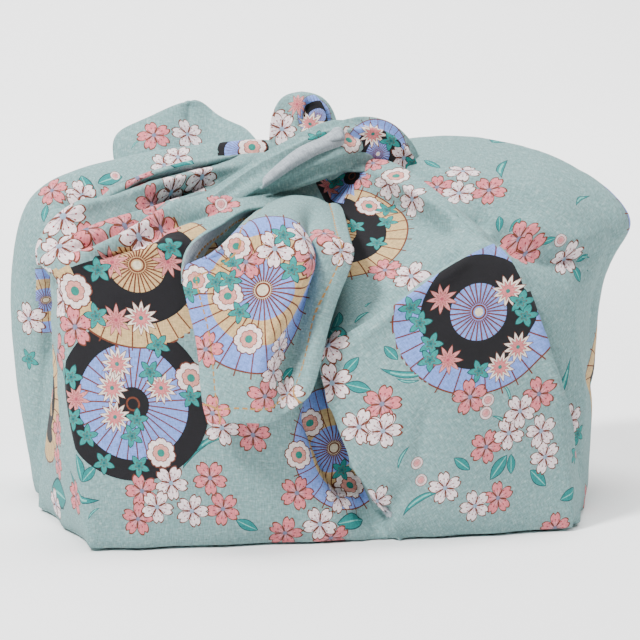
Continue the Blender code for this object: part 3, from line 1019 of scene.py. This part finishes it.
Spray = namedtuple("Spray", "view across down kind turn")
SPRAY_PLACES = [
    Spray("right", 330, 170, "pair", 90), Spray("right", 300, 380, "loose", 140),
    Spray("right", 300, 250, "full", 200), Spray("right", 330, 290, "pair", 310),
    Spray("right", 400, 520, "pair", 20), Spray("right", 490, 250, "loose", 60),
    Spray("back", 346, 164, "pair", 20), Spray("back", 290, 175, "pair", 80),
    Spray("back", 60, 330, "pair", 40), Spray("back", 280, 380, "pair", 330),
    Spray("right", 340, 500, "full", 250), Spray("right", 416, 440, "garland", 30),
    Spray("right", 480, 320, "full", 10), Spray("right", 470, 290, "garland", 70),
    Spray("right", 460, 200, "pair", 0), Spray("right", 230, 470, "pair", 60),
    Spray("back", 100, 420, "loose", 0), Spray("back", 230, 440, "full", 120),
    Spray("back", 350, 460, "loose", 40), Spray("back", 420, 500, "pair", 200),
    Spray("back", 530, 280, "full", 90), Spray("back", 110, 220, "loose", 20),
    Spray("back", 210, 200, "pair", 300), Spray("back", 410, 230, "loose", 150),
    Spray("back", 200, 300, "garland", 60), Spray("back", 600, 350, "pair", 30),
    Spray("back", 460, 340, "garland", 10), Spray("back", 560, 460, "garland", 0),
    Spray("back", 320, 330, "pair", 70),
    Spray("left", 200, 420, "full", 30), Spray("left", 300, 400, "pair", 140),
    Spray("left", 310, 500, "loose", 260), Spray("left", 400, 320, "full", 70),
    Spray("left", 160, 230, "pair", 110), Spray("left", 330, 230, "loose", 180),
    Spray("left", 230, 290, "garland", 20), Spray("left", 400, 420, "garland", 200),
    Spray("top", 560, 300, "loose", 0), Spray("top", 420, 360, "pair", 90),
    Spray("top", 90, 330, "loose", 40), Spray("top", 300, 180, "loose", 120),
    Spray("top", 520, 160, "pair", 30), Spray("top", 130, 170, "pair", 210),
]


FRONT_NEARNESS = 1.15
NEARNESS = 1.45
SAME_PLACE = 3 * MM
PETAL_TURN = 72


class Printer:
    """Puts umbrellas, flowers and leaves on the pieces."""

    def __init__(self, trees):
        self.trees = trees
        self.pieces = {piece.name: PrintedPiece(piece) for piece in cloth_pieces}
        self.missed = []

    def find(self, view, across, down, piece=None):
        """A place's piece, panel, pattern point and picture direction, or None."""
        place = find_place(self.trees, view, across, down, piece)
        if place is None or self.pieces[place.piece].row[place.face] < 0:
            self.missed.append((view, across, down))
            return None
        if view != "front" and self.shows_in_front(place.point):
            return None
        found = self.pieces[place.piece]
        self.point = np.array(place.point)
        return (found, *found.spot(place, view))

    def shows_in_front(self, point):
        """Whether a point can be seen in the front's picture, which has its own tables."""
        across, down = in_front_picture(np.array([point]))[0]
        seen = find_place(self.trees, "front", across, down)
        return seen is not None and (seen.point - point).length < SAME_PLACE

    def umbrella(self, row):
        """One umbrella of the table, on faces near its middle and inside its window."""
        found = self.find(row.view, row.across, row.down, row.piece)
        if found:
            piece, panel, here, turn = found
            size = row.radius * MM
            reach = size * (FRONT_NEARNESS if row.view == "front" else NEARNESS)
            limit = np.linalg.norm(piece.middles - self.point, axis=1) < reach
            if row.window:
                limit &= inside(piece.pictured, WINDOWS[row.window])
            piece.put("umbrellas", UMBRELLAS.index(row.kind), panel, here, size, turn, limit=limit)

    def flower(self, across, down, kind):
        """One flower of the front, turned by its place."""
        found = self.find("front", across, down)
        if found:
            piece, panel, here, turn = found
            turn += math.radians((across * 7 + down * 13) % PETAL_TURN)
            piece.put("flowers", FLOWERS.index(kind), panel, here, FLOWER_SIZES[kind] * MM, turn)

    def leaf(self, stalk, tip, kind):
        """One leaf of the front, from its stalk to its tip."""
        start = self.find("front", *stalk)
        end = self.find("front", *tip)
        if start and end and start[:2] == end[:2]:
            step = end[2] - start[2]
            turn = math.atan2(step[1], step[0])
            piece, panel, here, _ = start
            piece.put("leaves", LEAVES.index(kind), panel, here, np.hypot(*step), turn, leaf=True)

    def spray(self, row):
        """One spray of the table."""
        found = self.find(row.view, row.across, row.down)
        if not found:
            return
        piece, panel, here, turn = found
        turn += math.radians(row.turn)
        for figure in SPRAYS[row.kind]:
            centre = here + turned(turn) @ (figure.right * MM, figure.up * MM)
            angle = turn + math.radians(figure.turn)
            leaf = figure.kind in LEAVES
            layer, kinds = ("leaves", LEAVES) if leaf else ("flowers", FLOWERS)
            number = kinds.index(figure.kind)
            piece.put(layer, number, panel, centre, figure.size * MM, angle, leaf)


def print_all(trees):
    """Prints the whole cloth and returns the places that missed it."""
    printer = Printer(trees)
    for row in UMBRELLA_PLACES:
        printer.umbrella(row)
    for kind, places in FRONT_FLOWERS.items():
        for across, down in places:
            printer.flower(across, down, kind)
    for kind, places in FRONT_LEAVES.items():
        for from_across, from_down, to_across, to_down in places:
            printer.leaf((from_across, from_down), (to_across, to_down), kind)
    for row in SPRAY_PLACES:
        printer.spray(row)
    for piece in printer.pieces.values():
        piece.write()
    return printer.missed


print("places off the cloth:", print_all(trees))

# %% [markdown]
# ## Drawing with numbers
#
# The material works the drawings out from the stored coordinates: how far a point is from the
# middle of its flower, and in which direction, decides whether it is petal, outline or ground.
# A small class lets the arithmetic be written as arithmetic; each step becomes a Math node.

# %% Node arithmetic
class Number:
    """A number in a node tree."""

    def __init__(self, tree, socket):
        self.tree = tree
        self.socket = socket

    def step(self, operation, *others):
        """One Math node with this number as its first value."""
        node = self.tree.nodes.new("ShaderNodeMath")
        node.operation = operation
        for slot, value in zip(node.inputs, (self, *others)):
            if isinstance(value, Number):
                self.tree.links.new(value.socket, slot)
            else:
                slot.default_value = value
        return Number(self.tree, node.outputs[0])

    def __add__(self, other):
        return self.step("ADD", other)

    def __sub__(self, other):
        return self.step("SUBTRACT", other)

    def __mul__(self, other):
        return self.step("MULTIPLY", other)

    def __truediv__(self, other):
        return self.step("DIVIDE", other)

    def __lt__(self, other):
        return self.step("LESS_THAN", other)

    def __gt__(self, other):
        return self.step("GREATER_THAN", other)

    def power(self, other):
        """This number to a power."""
        return self.step("POWER", other)

    def size(self):
        """This number without its sign."""
        return self.step("ABSOLUTE")


def colour(code):
    """A colour from its six-figure code, as light."""
    light = []
    for start in (0, 2, 4):
        part = int(code[start:start + 2], 16) / 255
        light.append(part / 12.92 if part <= 0.04045 else ((part + 0.055) / 1.055) ** 2.4)
    return (*light, 1.0)


def link_or_set(tree, slot, value):
    """Links a socket to an input, or writes a constant there."""
    if isinstance(value, bpy.types.NodeSocket):
        tree.links.new(value, slot)
    else:
        slot.default_value = value


def paint(tree, ground, cover, where):
    """The ground with another colour over it where the mask is 1."""
    node = tree.nodes.new("ShaderNodeMix")
    node.data_type = "RGBA"
    link_or_set(tree, node.inputs["Factor"], where.socket if isinstance(where, Number) else where)
    link_or_set(tree, node.inputs[6], ground)
    link_or_set(tree, node.inputs[7], cover)
    return node.outputs[2]


def steps_table(tree, value, rows):
    """A colour for each step of a value: rows of (start, colour), as a constant ramp."""
    node = tree.nodes.new("ShaderNodeValToRGB")
    ramp = node.color_ramp
    ramp.interpolation = "CONSTANT"
    while len(ramp.elements) < len(rows):
        ramp.elements.new(1.0)
    for element, (start, shade) in zip(ramp.elements, sorted(rows)):
        element.position = start
        element.color = shade
    tree.links.new(value.socket, node.inputs["Fac"])
    return node.outputs["Color"], Number(tree, node.outputs["Alpha"])


def kind_table(tree, kind, rows):
    """A colour for each kind of figure."""
    scaled = (kind + 0.5) / len(rows)
    return steps_table(tree, scaled, [(row / len(rows), shade) for row, shade in enumerate(rows)])


def drawing_group(name):
    """A group with one figure's coordinates and the ground colour coming in."""
    tree = bpy.data.node_groups.new(name, "ShaderNodeTree")
    tree.interface.new_socket("Place", in_out="INPUT", socket_type="NodeSocketVector")
    tree.interface.new_socket("Ground", in_out="INPUT", socket_type="NodeSocketColor")
    tree.interface.new_socket("Colour", in_out="OUTPUT", socket_type="NodeSocketColor")
    entry = tree.nodes.new("NodeGroupInput")
    parts = tree.nodes.new("ShaderNodeSeparateXYZ")
    tree.links.new(entry.outputs["Place"], parts.inputs[0])
    across, up, kind = (Number(tree, socket) for socket in parts.outputs)
    return tree, entry.outputs["Ground"], across, up, kind


def finish_group(tree, shade):
    """Sends the finished colour out of its group."""
    way_out = tree.nodes.new("NodeGroupOutput")
    tree.links.new(shade, way_out.inputs["Colour"])


def round_figure(across, up):
    """Distance from the middle and direction round it, from 0 to 1."""
    distance = (across * across + up * up).step("SQRT")
    return distance, up.step("ARCTAN2", across) / math.tau + 0.5


# %% [markdown]
# ## Flowers, leaves and umbrellas
#
# A flower's rim comes from its number of petals, how deep the dips between them are and how
# deep the notch in each tip is. An umbrella is rings with ribs that run a little past its rim.

# %% Drawings
OUTLINE = colour("6e3520")
RIM = 0.085

FlowerKind = namedtuple("FlowerKind", "petals dip notch roundness outer inner heart inner_size heart_size")
FLOWER_KINDS = {
    "cherry_pink": FlowerKind(5, 0.50, 0.16, 2.4, "e27f86", "e3959a", "747b98", 0.45, 0.12),
    "cherry_white": FlowerKind(5, 0.50, 0.16, 2.4, "fbeaec", "f1d6dc", "8aa4bd", 0.45, 0.12),
    "peony": FlowerKind(7, 0.16, 0.05, 2.4, "faeae6", "e39a8e", "1f8577", 0.58, 0.24),
    "star_pink": FlowerKind(9, 0.58, 0.0, 0.9, "dc8a8a", "cf7377", "a94a58", 0.5, 0.1),
    "star_white": FlowerKind(12, 0.46, 0.0, 0.9, "faeadd", "dd7c7e", "2c7a72", 0.62, 0.12),
    "ivy": FlowerKind(5, 0.58, 0.0, 1.1, "23908b", "1b7c7b", "125b5f", 0.4, 0.1),
    "bud": FlowerKind(1, 0.0, 0.0, 2.4, "ead0d0", "dd9c9c", "d98888", 0.6, 0.3),
}
MOST_PETALS = 16
MOST_ROUND = 4.0
IVY_OUTLINE = colour("0c3a3c")
STAMEN, POLLEN = colour("6d5a6d"), colour("8c2f3d")
STAMENS = 15
INNER_RIM = 0.05
PETAL_GAP = 0.016
STAMEN_WIDTH, STAMEN_END = 0.022, 0.5
POLLEN_WIDTH, POLLEN_AT, POLLEN_DEPTH = 0.07, 0.52, 0.045


def flower_drawing():
    """The node group that draws every kind of flower."""
    tree, shade, across, up, kind = drawing_group("flowers")
    kinds = [FLOWER_KINDS[name] for name in FLOWERS]
    shape, roundness = kind_table(tree, kind, [
        (row.petals / MOST_PETALS, row.dip, row.notch, row.roundness / MOST_ROUND) for row in kinds])
    outer, _ = kind_table(tree, kind, [colour(row.outer) for row in kinds])
    inner, inner_size = kind_table(tree, kind, [colour(row.inner)[:3] + (row.inner_size,) for row in kinds])
    heart, heart_size = kind_table(tree, kind, [colour(row.heart)[:3] + (row.heart_size,) for row in kinds])
    parts = tree.nodes.new("ShaderNodeSeparateColor")
    tree.links.new(shape, parts.inputs[0])
    petals, dip, notch = (Number(tree, socket) for socket in parts.outputs)
    petals = petals * MOST_PETALS
    distance, round_it = round_figure(across, up)
    beside = ((round_it * petals).step("FRACT") - 0.5).size() * 2.0
    pinch = (beside * -5.0 + 1.0).step("MAXIMUM", 0.0)
    edge = beside.power(roundness * MOST_ROUND) * dip * -1.0 + 1.0 - pinch * notch
    is_cherry = kind < 1.5
    rim = paint(tree, OUTLINE, IVY_OUTLINE, (kind - FLOWERS.index("ivy")).size() < 0.5)
    shade = paint(tree, shade, rim, distance < edge)
    shade = paint(tree, shade, outer, distance < edge - RIM)
    shade = paint(tree, shade, OUTLINE, (distance < edge * inner_size) * (is_cherry * -1.0 + 1.0))
    shade = paint(tree, shade, inner, distance < edge * inner_size - INNER_RIM)
    between = (beside * -1.0 + 1.0) * distance / petals
    shade = paint(tree, shade, OUTLINE, (between < PETAL_GAP) * (distance < edge - RIM) * is_cherry)
    spoke = ((round_it * STAMENS).step("FRACT") - 0.5).size() * distance
    stamen = (spoke < STAMEN_WIDTH) * (distance < STAMEN_END)
    shade = paint(tree, shade, STAMEN, stamen * is_cherry)
    tip = (spoke < POLLEN_WIDTH) * ((distance - POLLEN_AT).size() < POLLEN_DEPTH)
    shade = paint(tree, shade, POLLEN, tip * is_cherry)
    shade = paint(tree, shade, heart, distance < heart_size)
    finish_group(tree, shade)
    return tree


LEAF_COLOUR, LEAF_EDGE, LEAF_VEIN = (colour(code) for code in ("1c8583", "12474c", "79c2ba"))
BROAD_WIDTH, BLADE_WIDTH = 0.24, 0.075
BROAD_EDGE, BLADE_EDGE = 0.035, 0.015
BLADE_BOW = 0.12
VEIN_WIDTH = 0.022


def leaf_drawing():
    """The node group that draws broad leaves and long blades from stalk to tip."""
    tree, shade, across, up, kind = drawing_group("leaves")
    blade = kind > 0.5
    along = across.step("MAXIMUM", 0.0).step("MINIMUM", 1.0)
    bulge = (along * math.pi).step("SINE").power(0.8)
    offset = up - bulge * blade * BLADE_BOW
    width = bulge * (blade * (BLADE_WIDTH - BROAD_WIDTH) + BROAD_WIDTH)
    edge = blade * (BLADE_EDGE - BROAD_EDGE) + BROAD_EDGE
    shade = paint(tree, shade, LEAF_EDGE, offset.size() < width)
    shade = paint(tree, shade, LEAF_COLOUR, offset.size() < width - edge)
    vein = offset.size() < bulge * VEIN_WIDTH
    shade = paint(tree, shade, LEAF_VEIN, vein * (width > 0.05))
    finish_group(tree, shade)
    return tree


UMBRELLA_RIBS = 30
RIB_WIDTH = 0.0015
RIB_END = 1.08
RIM_LINE = 0.011
HUB, HUB_LINE, RIB_START = 0.08, 0.012, 0.1
BLACK, BLUE, TAN, PALE = (colour(code) for code in ("06040c", "7b9be8", "d3b17c", "e6d6ba"))
SHADE = {"black": BLACK[:3] + (0.0,), "blue": BLUE, "tan": TAN, "pale": PALE}
UMBRELLA_RINGS = {
    "blue_in_black": [(0.0, "black"), (0.21, "blue"), (0.72, "black")],
    "tan_round_black": [(0.0, "pale"), (0.05, "tan"), (0.33, "black"), (0.72, "tan")],
    "blue_round_black": [(0.0, "pale"), (0.05, "blue"), (0.34, "black"), (0.69, "blue")],
    "blue_and_tan": [(0.0, "pale"), (0.12, "blue"), (0.36, "tan"), (0.66, "blue")],
}


def umbrella_drawing():
    """The node group that draws every kind of umbrella."""
    tree, ground, across, up, kind = drawing_group("umbrellas")
    distance, round_it = round_figure(across, up)
    spoke = ((round_it * UMBRELLA_RIBS).step("FRACT") - 0.5).size() * distance / UMBRELLA_RIBS
    rib = spoke < RIB_WIDTH
    plain = OUTLINE
    ribbed = None
    for number, name in enumerate(UMBRELLAS):
        rows = [(start, SHADE[shade]) for start, shade in UMBRELLA_RINGS[name]]
        rings, shows_ribs = steps_table(tree, distance, rows)
        here = (kind - number).size() < 0.5
        plain = paint(tree, plain, rings, here)
        share = shows_ribs * here
        ribbed = share if ribbed is None else ribbed + share
    cover = distance < 1.0
    shade = paint(tree, ground, OUTLINE, (distance < RIB_END) * rib * (kind > 0.5))
    shade = paint(tree, shade, plain, cover)
    shade = paint(tree, shade, OUTLINE, rib * (ribbed > 0.5) * cover * (distance > RIB_START))
    shade = paint(tree, shade, OUTLINE, ((distance - 1.0).size() < RIM_LINE) * (kind > 0.5))
    shade = paint(tree, shade, OUTLINE, (distance - HUB).size() < HUB_LINE)
    finish_group(tree, shade)
    return tree


drawings = {"leaves": leaf_drawing(), "umbrellas": umbrella_drawing(), "flowers": flower_drawing()}

# %% [markdown]
# ## Cotton
#
# The ground colour is not quite even: the yarn is heathered, along the warp and across the
# weft. The wrong side is the same cloth, where the print only shows through faintly.

# %% Cotton
GROUND, FLECK, WRONG_SIDE, STITCH = (colour(code) for code in ("7da1a1", "c4d6d4", "b3b4be", "b98a4a"))
WRONG_SIDE_SHARE = 0.72
STITCH_PITCH = 2.4 * MM
STITCH_WIDTH = 0.3 * MM
STITCH_SHARE = 0.7
THREAD = 0.45 * MM
YARN_DRAWN = 0.25
FLECK_DRAWN, FLECK_SIZE, FLECK_START, FLECK_STRENGTH = 0.3, 1.6, 0.24, 1.6
BRIGHTNESS = 0.76
HEATHER = 1.1
ROUGHNESS = 0.92
RELIEF_DEPTH, RELIEF_STRENGTH = 0.2 * MM, 0.6


def add_print(tree, ground):
    """Paints every print layer over the ground."""
    shade = ground
    for kind, count in LAYERS.items():
        for number in range(count):
            reader = tree.nodes.new("ShaderNodeAttribute")
            reader.attribute_name = f"{kind}_{number}"
            figure = tree.nodes.new("ShaderNodeGroup")
            figure.node_tree = drawings[kind]
            tree.links.new(reader.outputs["Vector"], figure.inputs["Place"])
            link_or_set(tree, figure.inputs["Ground"], shade)
            shade = figure.outputs["Colour"]
    return shade


def three_numbers(tree, name):
    """The three numbers that an attribute holds at each point."""
    reader = tree.nodes.new("ShaderNodeAttribute")
    reader.attribute_name = name
    parts = tree.nodes.new("ShaderNodeSeparateXYZ")
    tree.links.new(reader.outputs["Vector"], parts.inputs[0])
    return [Number(tree, socket) for socket in parts.outputs]


def add_stitches(tree, ground):
    """Paints the hem's stitches, which run beside up to three sides of an end."""
    shade = ground
    for gap, run in zip(three_numbers(tree, "hem_gap"), three_numbers(tree, "hem_run")):
        on_line = (gap - HEM_WIDTH).size() < STITCH_WIDTH
        dash = (run / STITCH_PITCH).step("FRACT") < STITCH_SHARE
        shade = paint(tree, shade, STITCH, on_line * dash)
    return shade


def threads(tree, stretch, pitch):
    """Noise drawn out along one direction of the pattern, as in uneven yarn."""
    place = tree.nodes.new("ShaderNodeUVMap")
    place.uv_map = PATTERN
    turn = tree.nodes.new("ShaderNodeMapping")
    turn.inputs["Scale"].default_value = (stretch[0] / pitch, stretch[1] / pitch, 1.0)
    yarn = tree.nodes.new("ShaderNodeTexNoise")
    yarn.inputs["Scale"].default_value = 1.0
    yarn.inputs["Detail"].default_value = 1.0
    tree.links.new(place.outputs["UV"], turn.inputs["Vector"])
    tree.links.new(turn.outputs["Vector"], yarn.inputs["Vector"])
    return Number(tree, yarn.outputs["Fac"])


def shaded(tree, shade, amount):
    """A colour made darker or lighter by a number round 1."""
    node = tree.nodes.new("ShaderNodeMix")
    node.data_type = "RGBA"
    node.blend_type = "MULTIPLY"
    node.inputs["Factor"].default_value = 1.0
    link_or_set(tree, node.inputs[6], shade)
    tree.links.new(amount.socket, node.inputs[7])
    return node.outputs[2]


def cotton_material(name, wrong_side):
    """Printed cotton, seen from its right or its wrong side."""
    material = bpy.data.materials.new(name)
    material.use_nodes = True
    tree = material.node_tree
    shader = tree.nodes["Principled BSDF"]
    warp, weft = (threads(tree, way, THREAD) for way in ((1.0, YARN_DRAWN), (YARN_DRAWN, 1.0)))
    weave = (warp + weft) * 0.5
    warp, weft = (
        threads(tree, way, THREAD * FLECK_SIZE) for way in ((1.0, FLECK_DRAWN), (FLECK_DRAWN, 1.0))
    )
    flecks = ((warp * weft - FLECK_START) * FLECK_STRENGTH).step("MAXIMUM", 0.0)
    shade = add_print(tree, paint(tree, GROUND, FLECK, flecks))
    if wrong_side:
        shade = paint(tree, shade, WRONG_SIDE, WRONG_SIDE_SHARE)
    shade = add_stitches(tree, shade)
    shade = shaded(tree, shade, (weave - 0.5) * HEATHER + BRIGHTNESS)
    tree.links.new(shade, shader.inputs["Base Color"])
    shader.inputs["Roughness"].default_value = ROUGHNESS
    relief = tree.nodes.new("ShaderNodeBump")
    relief.inputs["Distance"].default_value = RELIEF_DEPTH
    relief.inputs["Strength"].default_value = RELIEF_STRENGTH
    tree.links.new(weave.socket, relief.inputs["Height"])
    tree.links.new(relief.outputs["Normal"], shader.inputs["Normal"])
    return material


cotton = cotton_material("printed_cotton", wrong_side=False)
cotton_back = cotton_material("printed_cotton_back", wrong_side=True)

# %% [markdown]
# ## Thickness
#
# The stand-in is joined to the body without any print. Then the sheets are thickened: the body
# inwards, the tied ends to both sides, with the wrong side's material on the new face.

# %% Thickness
CLOTH_THICKNESS = 0.8 * MM
END_THICKNESS = 1.1 * MM


def leave_unprinted(piece, printed):
    """Gives a piece the other's print layers, empty, and its plan as the flat pattern."""
    for layer in printed.data.attributes:
        if layer.domain == "CORNER" and layer.data_type == "FLOAT_VECTOR":
            empty = piece.data.attributes.new(layer.name, "FLOAT_VECTOR", "CORNER")
            empty.data.foreach_set("vector", np.full(len(piece.data.loops) * 3, EMPTY))
    layers = piece.data.uv_layers
    plan = layers.get(PATTERN) or layers.new(name=PATTERN)
    points = [piece.data.vertices[loop.vertex_index].co.xy for loop in piece.data.loops]
    plan.data.foreach_set("uv", np.array(points).ravel())


leave_unprinted(inner, body)
make_active(body)
inner.select_set(True)
bpy.ops.object.join()
for piece in (body, front_end, hem_curl, back_end, turned_hem):
    sheet = piece.modifiers.new("Cloth thickness", "SOLIDIFY")
    sheet.thickness = CLOTH_THICKNESS if piece is body else END_THICKNESS
    sheet.offset = -1.0 if piece is body else 0.0
    sheet.use_even_offset = False
    sheet.material_offset = 1
for piece in cloth_pieces:
    piece.data.materials.append(cotton)
    piece.data.materials.append(cotton_back)

# %% [markdown]
# ## Floor and light
#
# The wrap stands on a wide pale floor that bends up into a wall behind it. A lamp above the
# viewer's left shoulder shades the folds; a broad sun straight above lights the tops and the
# floor evenly, and two weaker lamps light the wall and the right side.

# %% Floor and light
FLOOR_FRONT, FLOOR_BACK, BEND, WALL_TOP, FLOOR_HALF_WIDTH = -15.0, 1.6, 1.0, 3.0, 15.0
BEND_STEPS = 12
WALL_AIM = Vector((0.0, 2.2, 0.6))
FLOOR_WHITE = (0.95, 0.95, 0.95, 1.0)


def backdrop():
    """A pale floor that bends up into a wall behind the wrap."""
    side = [(FLOOR_FRONT, 0.0), (FLOOR_BACK, 0.0)]
    for step in range(1, BEND_STEPS + 1):
        angle = math.radians(90.0 * step / BEND_STEPS)
        side.append((FLOOR_BACK + BEND * math.sin(angle), BEND * (1.0 - math.cos(angle))))
    side.append((FLOOR_BACK + BEND, WALL_TOP))
    sheet = bmesh.new()
    rows = [[sheet.verts.new((x, y, z)) for x in (-FLOOR_HALF_WIDTH, FLOOR_HALF_WIDTH)] for y, z in side]
    for near, far in zip(rows, rows[1:]):
        sheet.faces.new((near[0], near[1], far[1], far[0]))
    return make_piece("floor", sheet)


floor = backdrop()
floor_paint = bpy.data.materials.new("floor_white")
floor_paint.use_nodes = True
floor_shader = floor_paint.node_tree.nodes["Principled BSDF"]
floor_shader.inputs["Base Color"].default_value = FLOOR_WHITE
floor_shader.inputs["Roughness"].default_value = 1.0
floor.data.materials.append(floor_paint)

SUN_STRENGTH = 3.4
SUN_WIDTH = math.radians(30.0)
SKY_STRENGTH = 0.04
Light = namedtuple("Light", "name place aim size watts")
LIGHTS = [
    Light("light_above", (-0.8, -0.75, 1.2), VIEW_AIM, 0.25, 46),
    Light("light_right", (1.0, 0.1, 1.1), VIEW_AIM, 0.4, 7),
    Light("light_wall", (0.0, 1.0, 1.6), WALL_AIM, 1.5, 60),
]
for light in LIGHTS:
    bpy.ops.object.light_add(type="AREA", location=light.place)
    lamp = bpy.context.object
    lamp.name = light.name
    lamp.data.energy = light.watts
    lamp.data.size = light.size
    lamp.rotation_euler = (Vector(light.place) - light.aim).to_track_quat("Z", "Y").to_euler()
bpy.ops.object.light_add(type="SUN", location=(0.0, 0.0, 2.0))
sun = bpy.context.object
sun.name = "sun_above"
sun.data.energy = SUN_STRENGTH
sun.data.angle = SUN_WIDTH

world = bpy.data.worlds.new("studio")
world.use_nodes = True
sky = world.node_tree.nodes["Background"]
sky.inputs["Color"].default_value = (1.0, 1.0, 1.0, 1.0)
sky.inputs["Strength"].default_value = SKY_STRENGTH
bpy.context.scene.world = world

# %% [markdown]
# ## Attaching the cloth
#
# Every piece rides on the frame's one fixed body and shows its one solid's cloth.

# %% Attaching
for piece in cloth_pieces:
    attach(piece, "root")
    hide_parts("furoshiki_cloth")
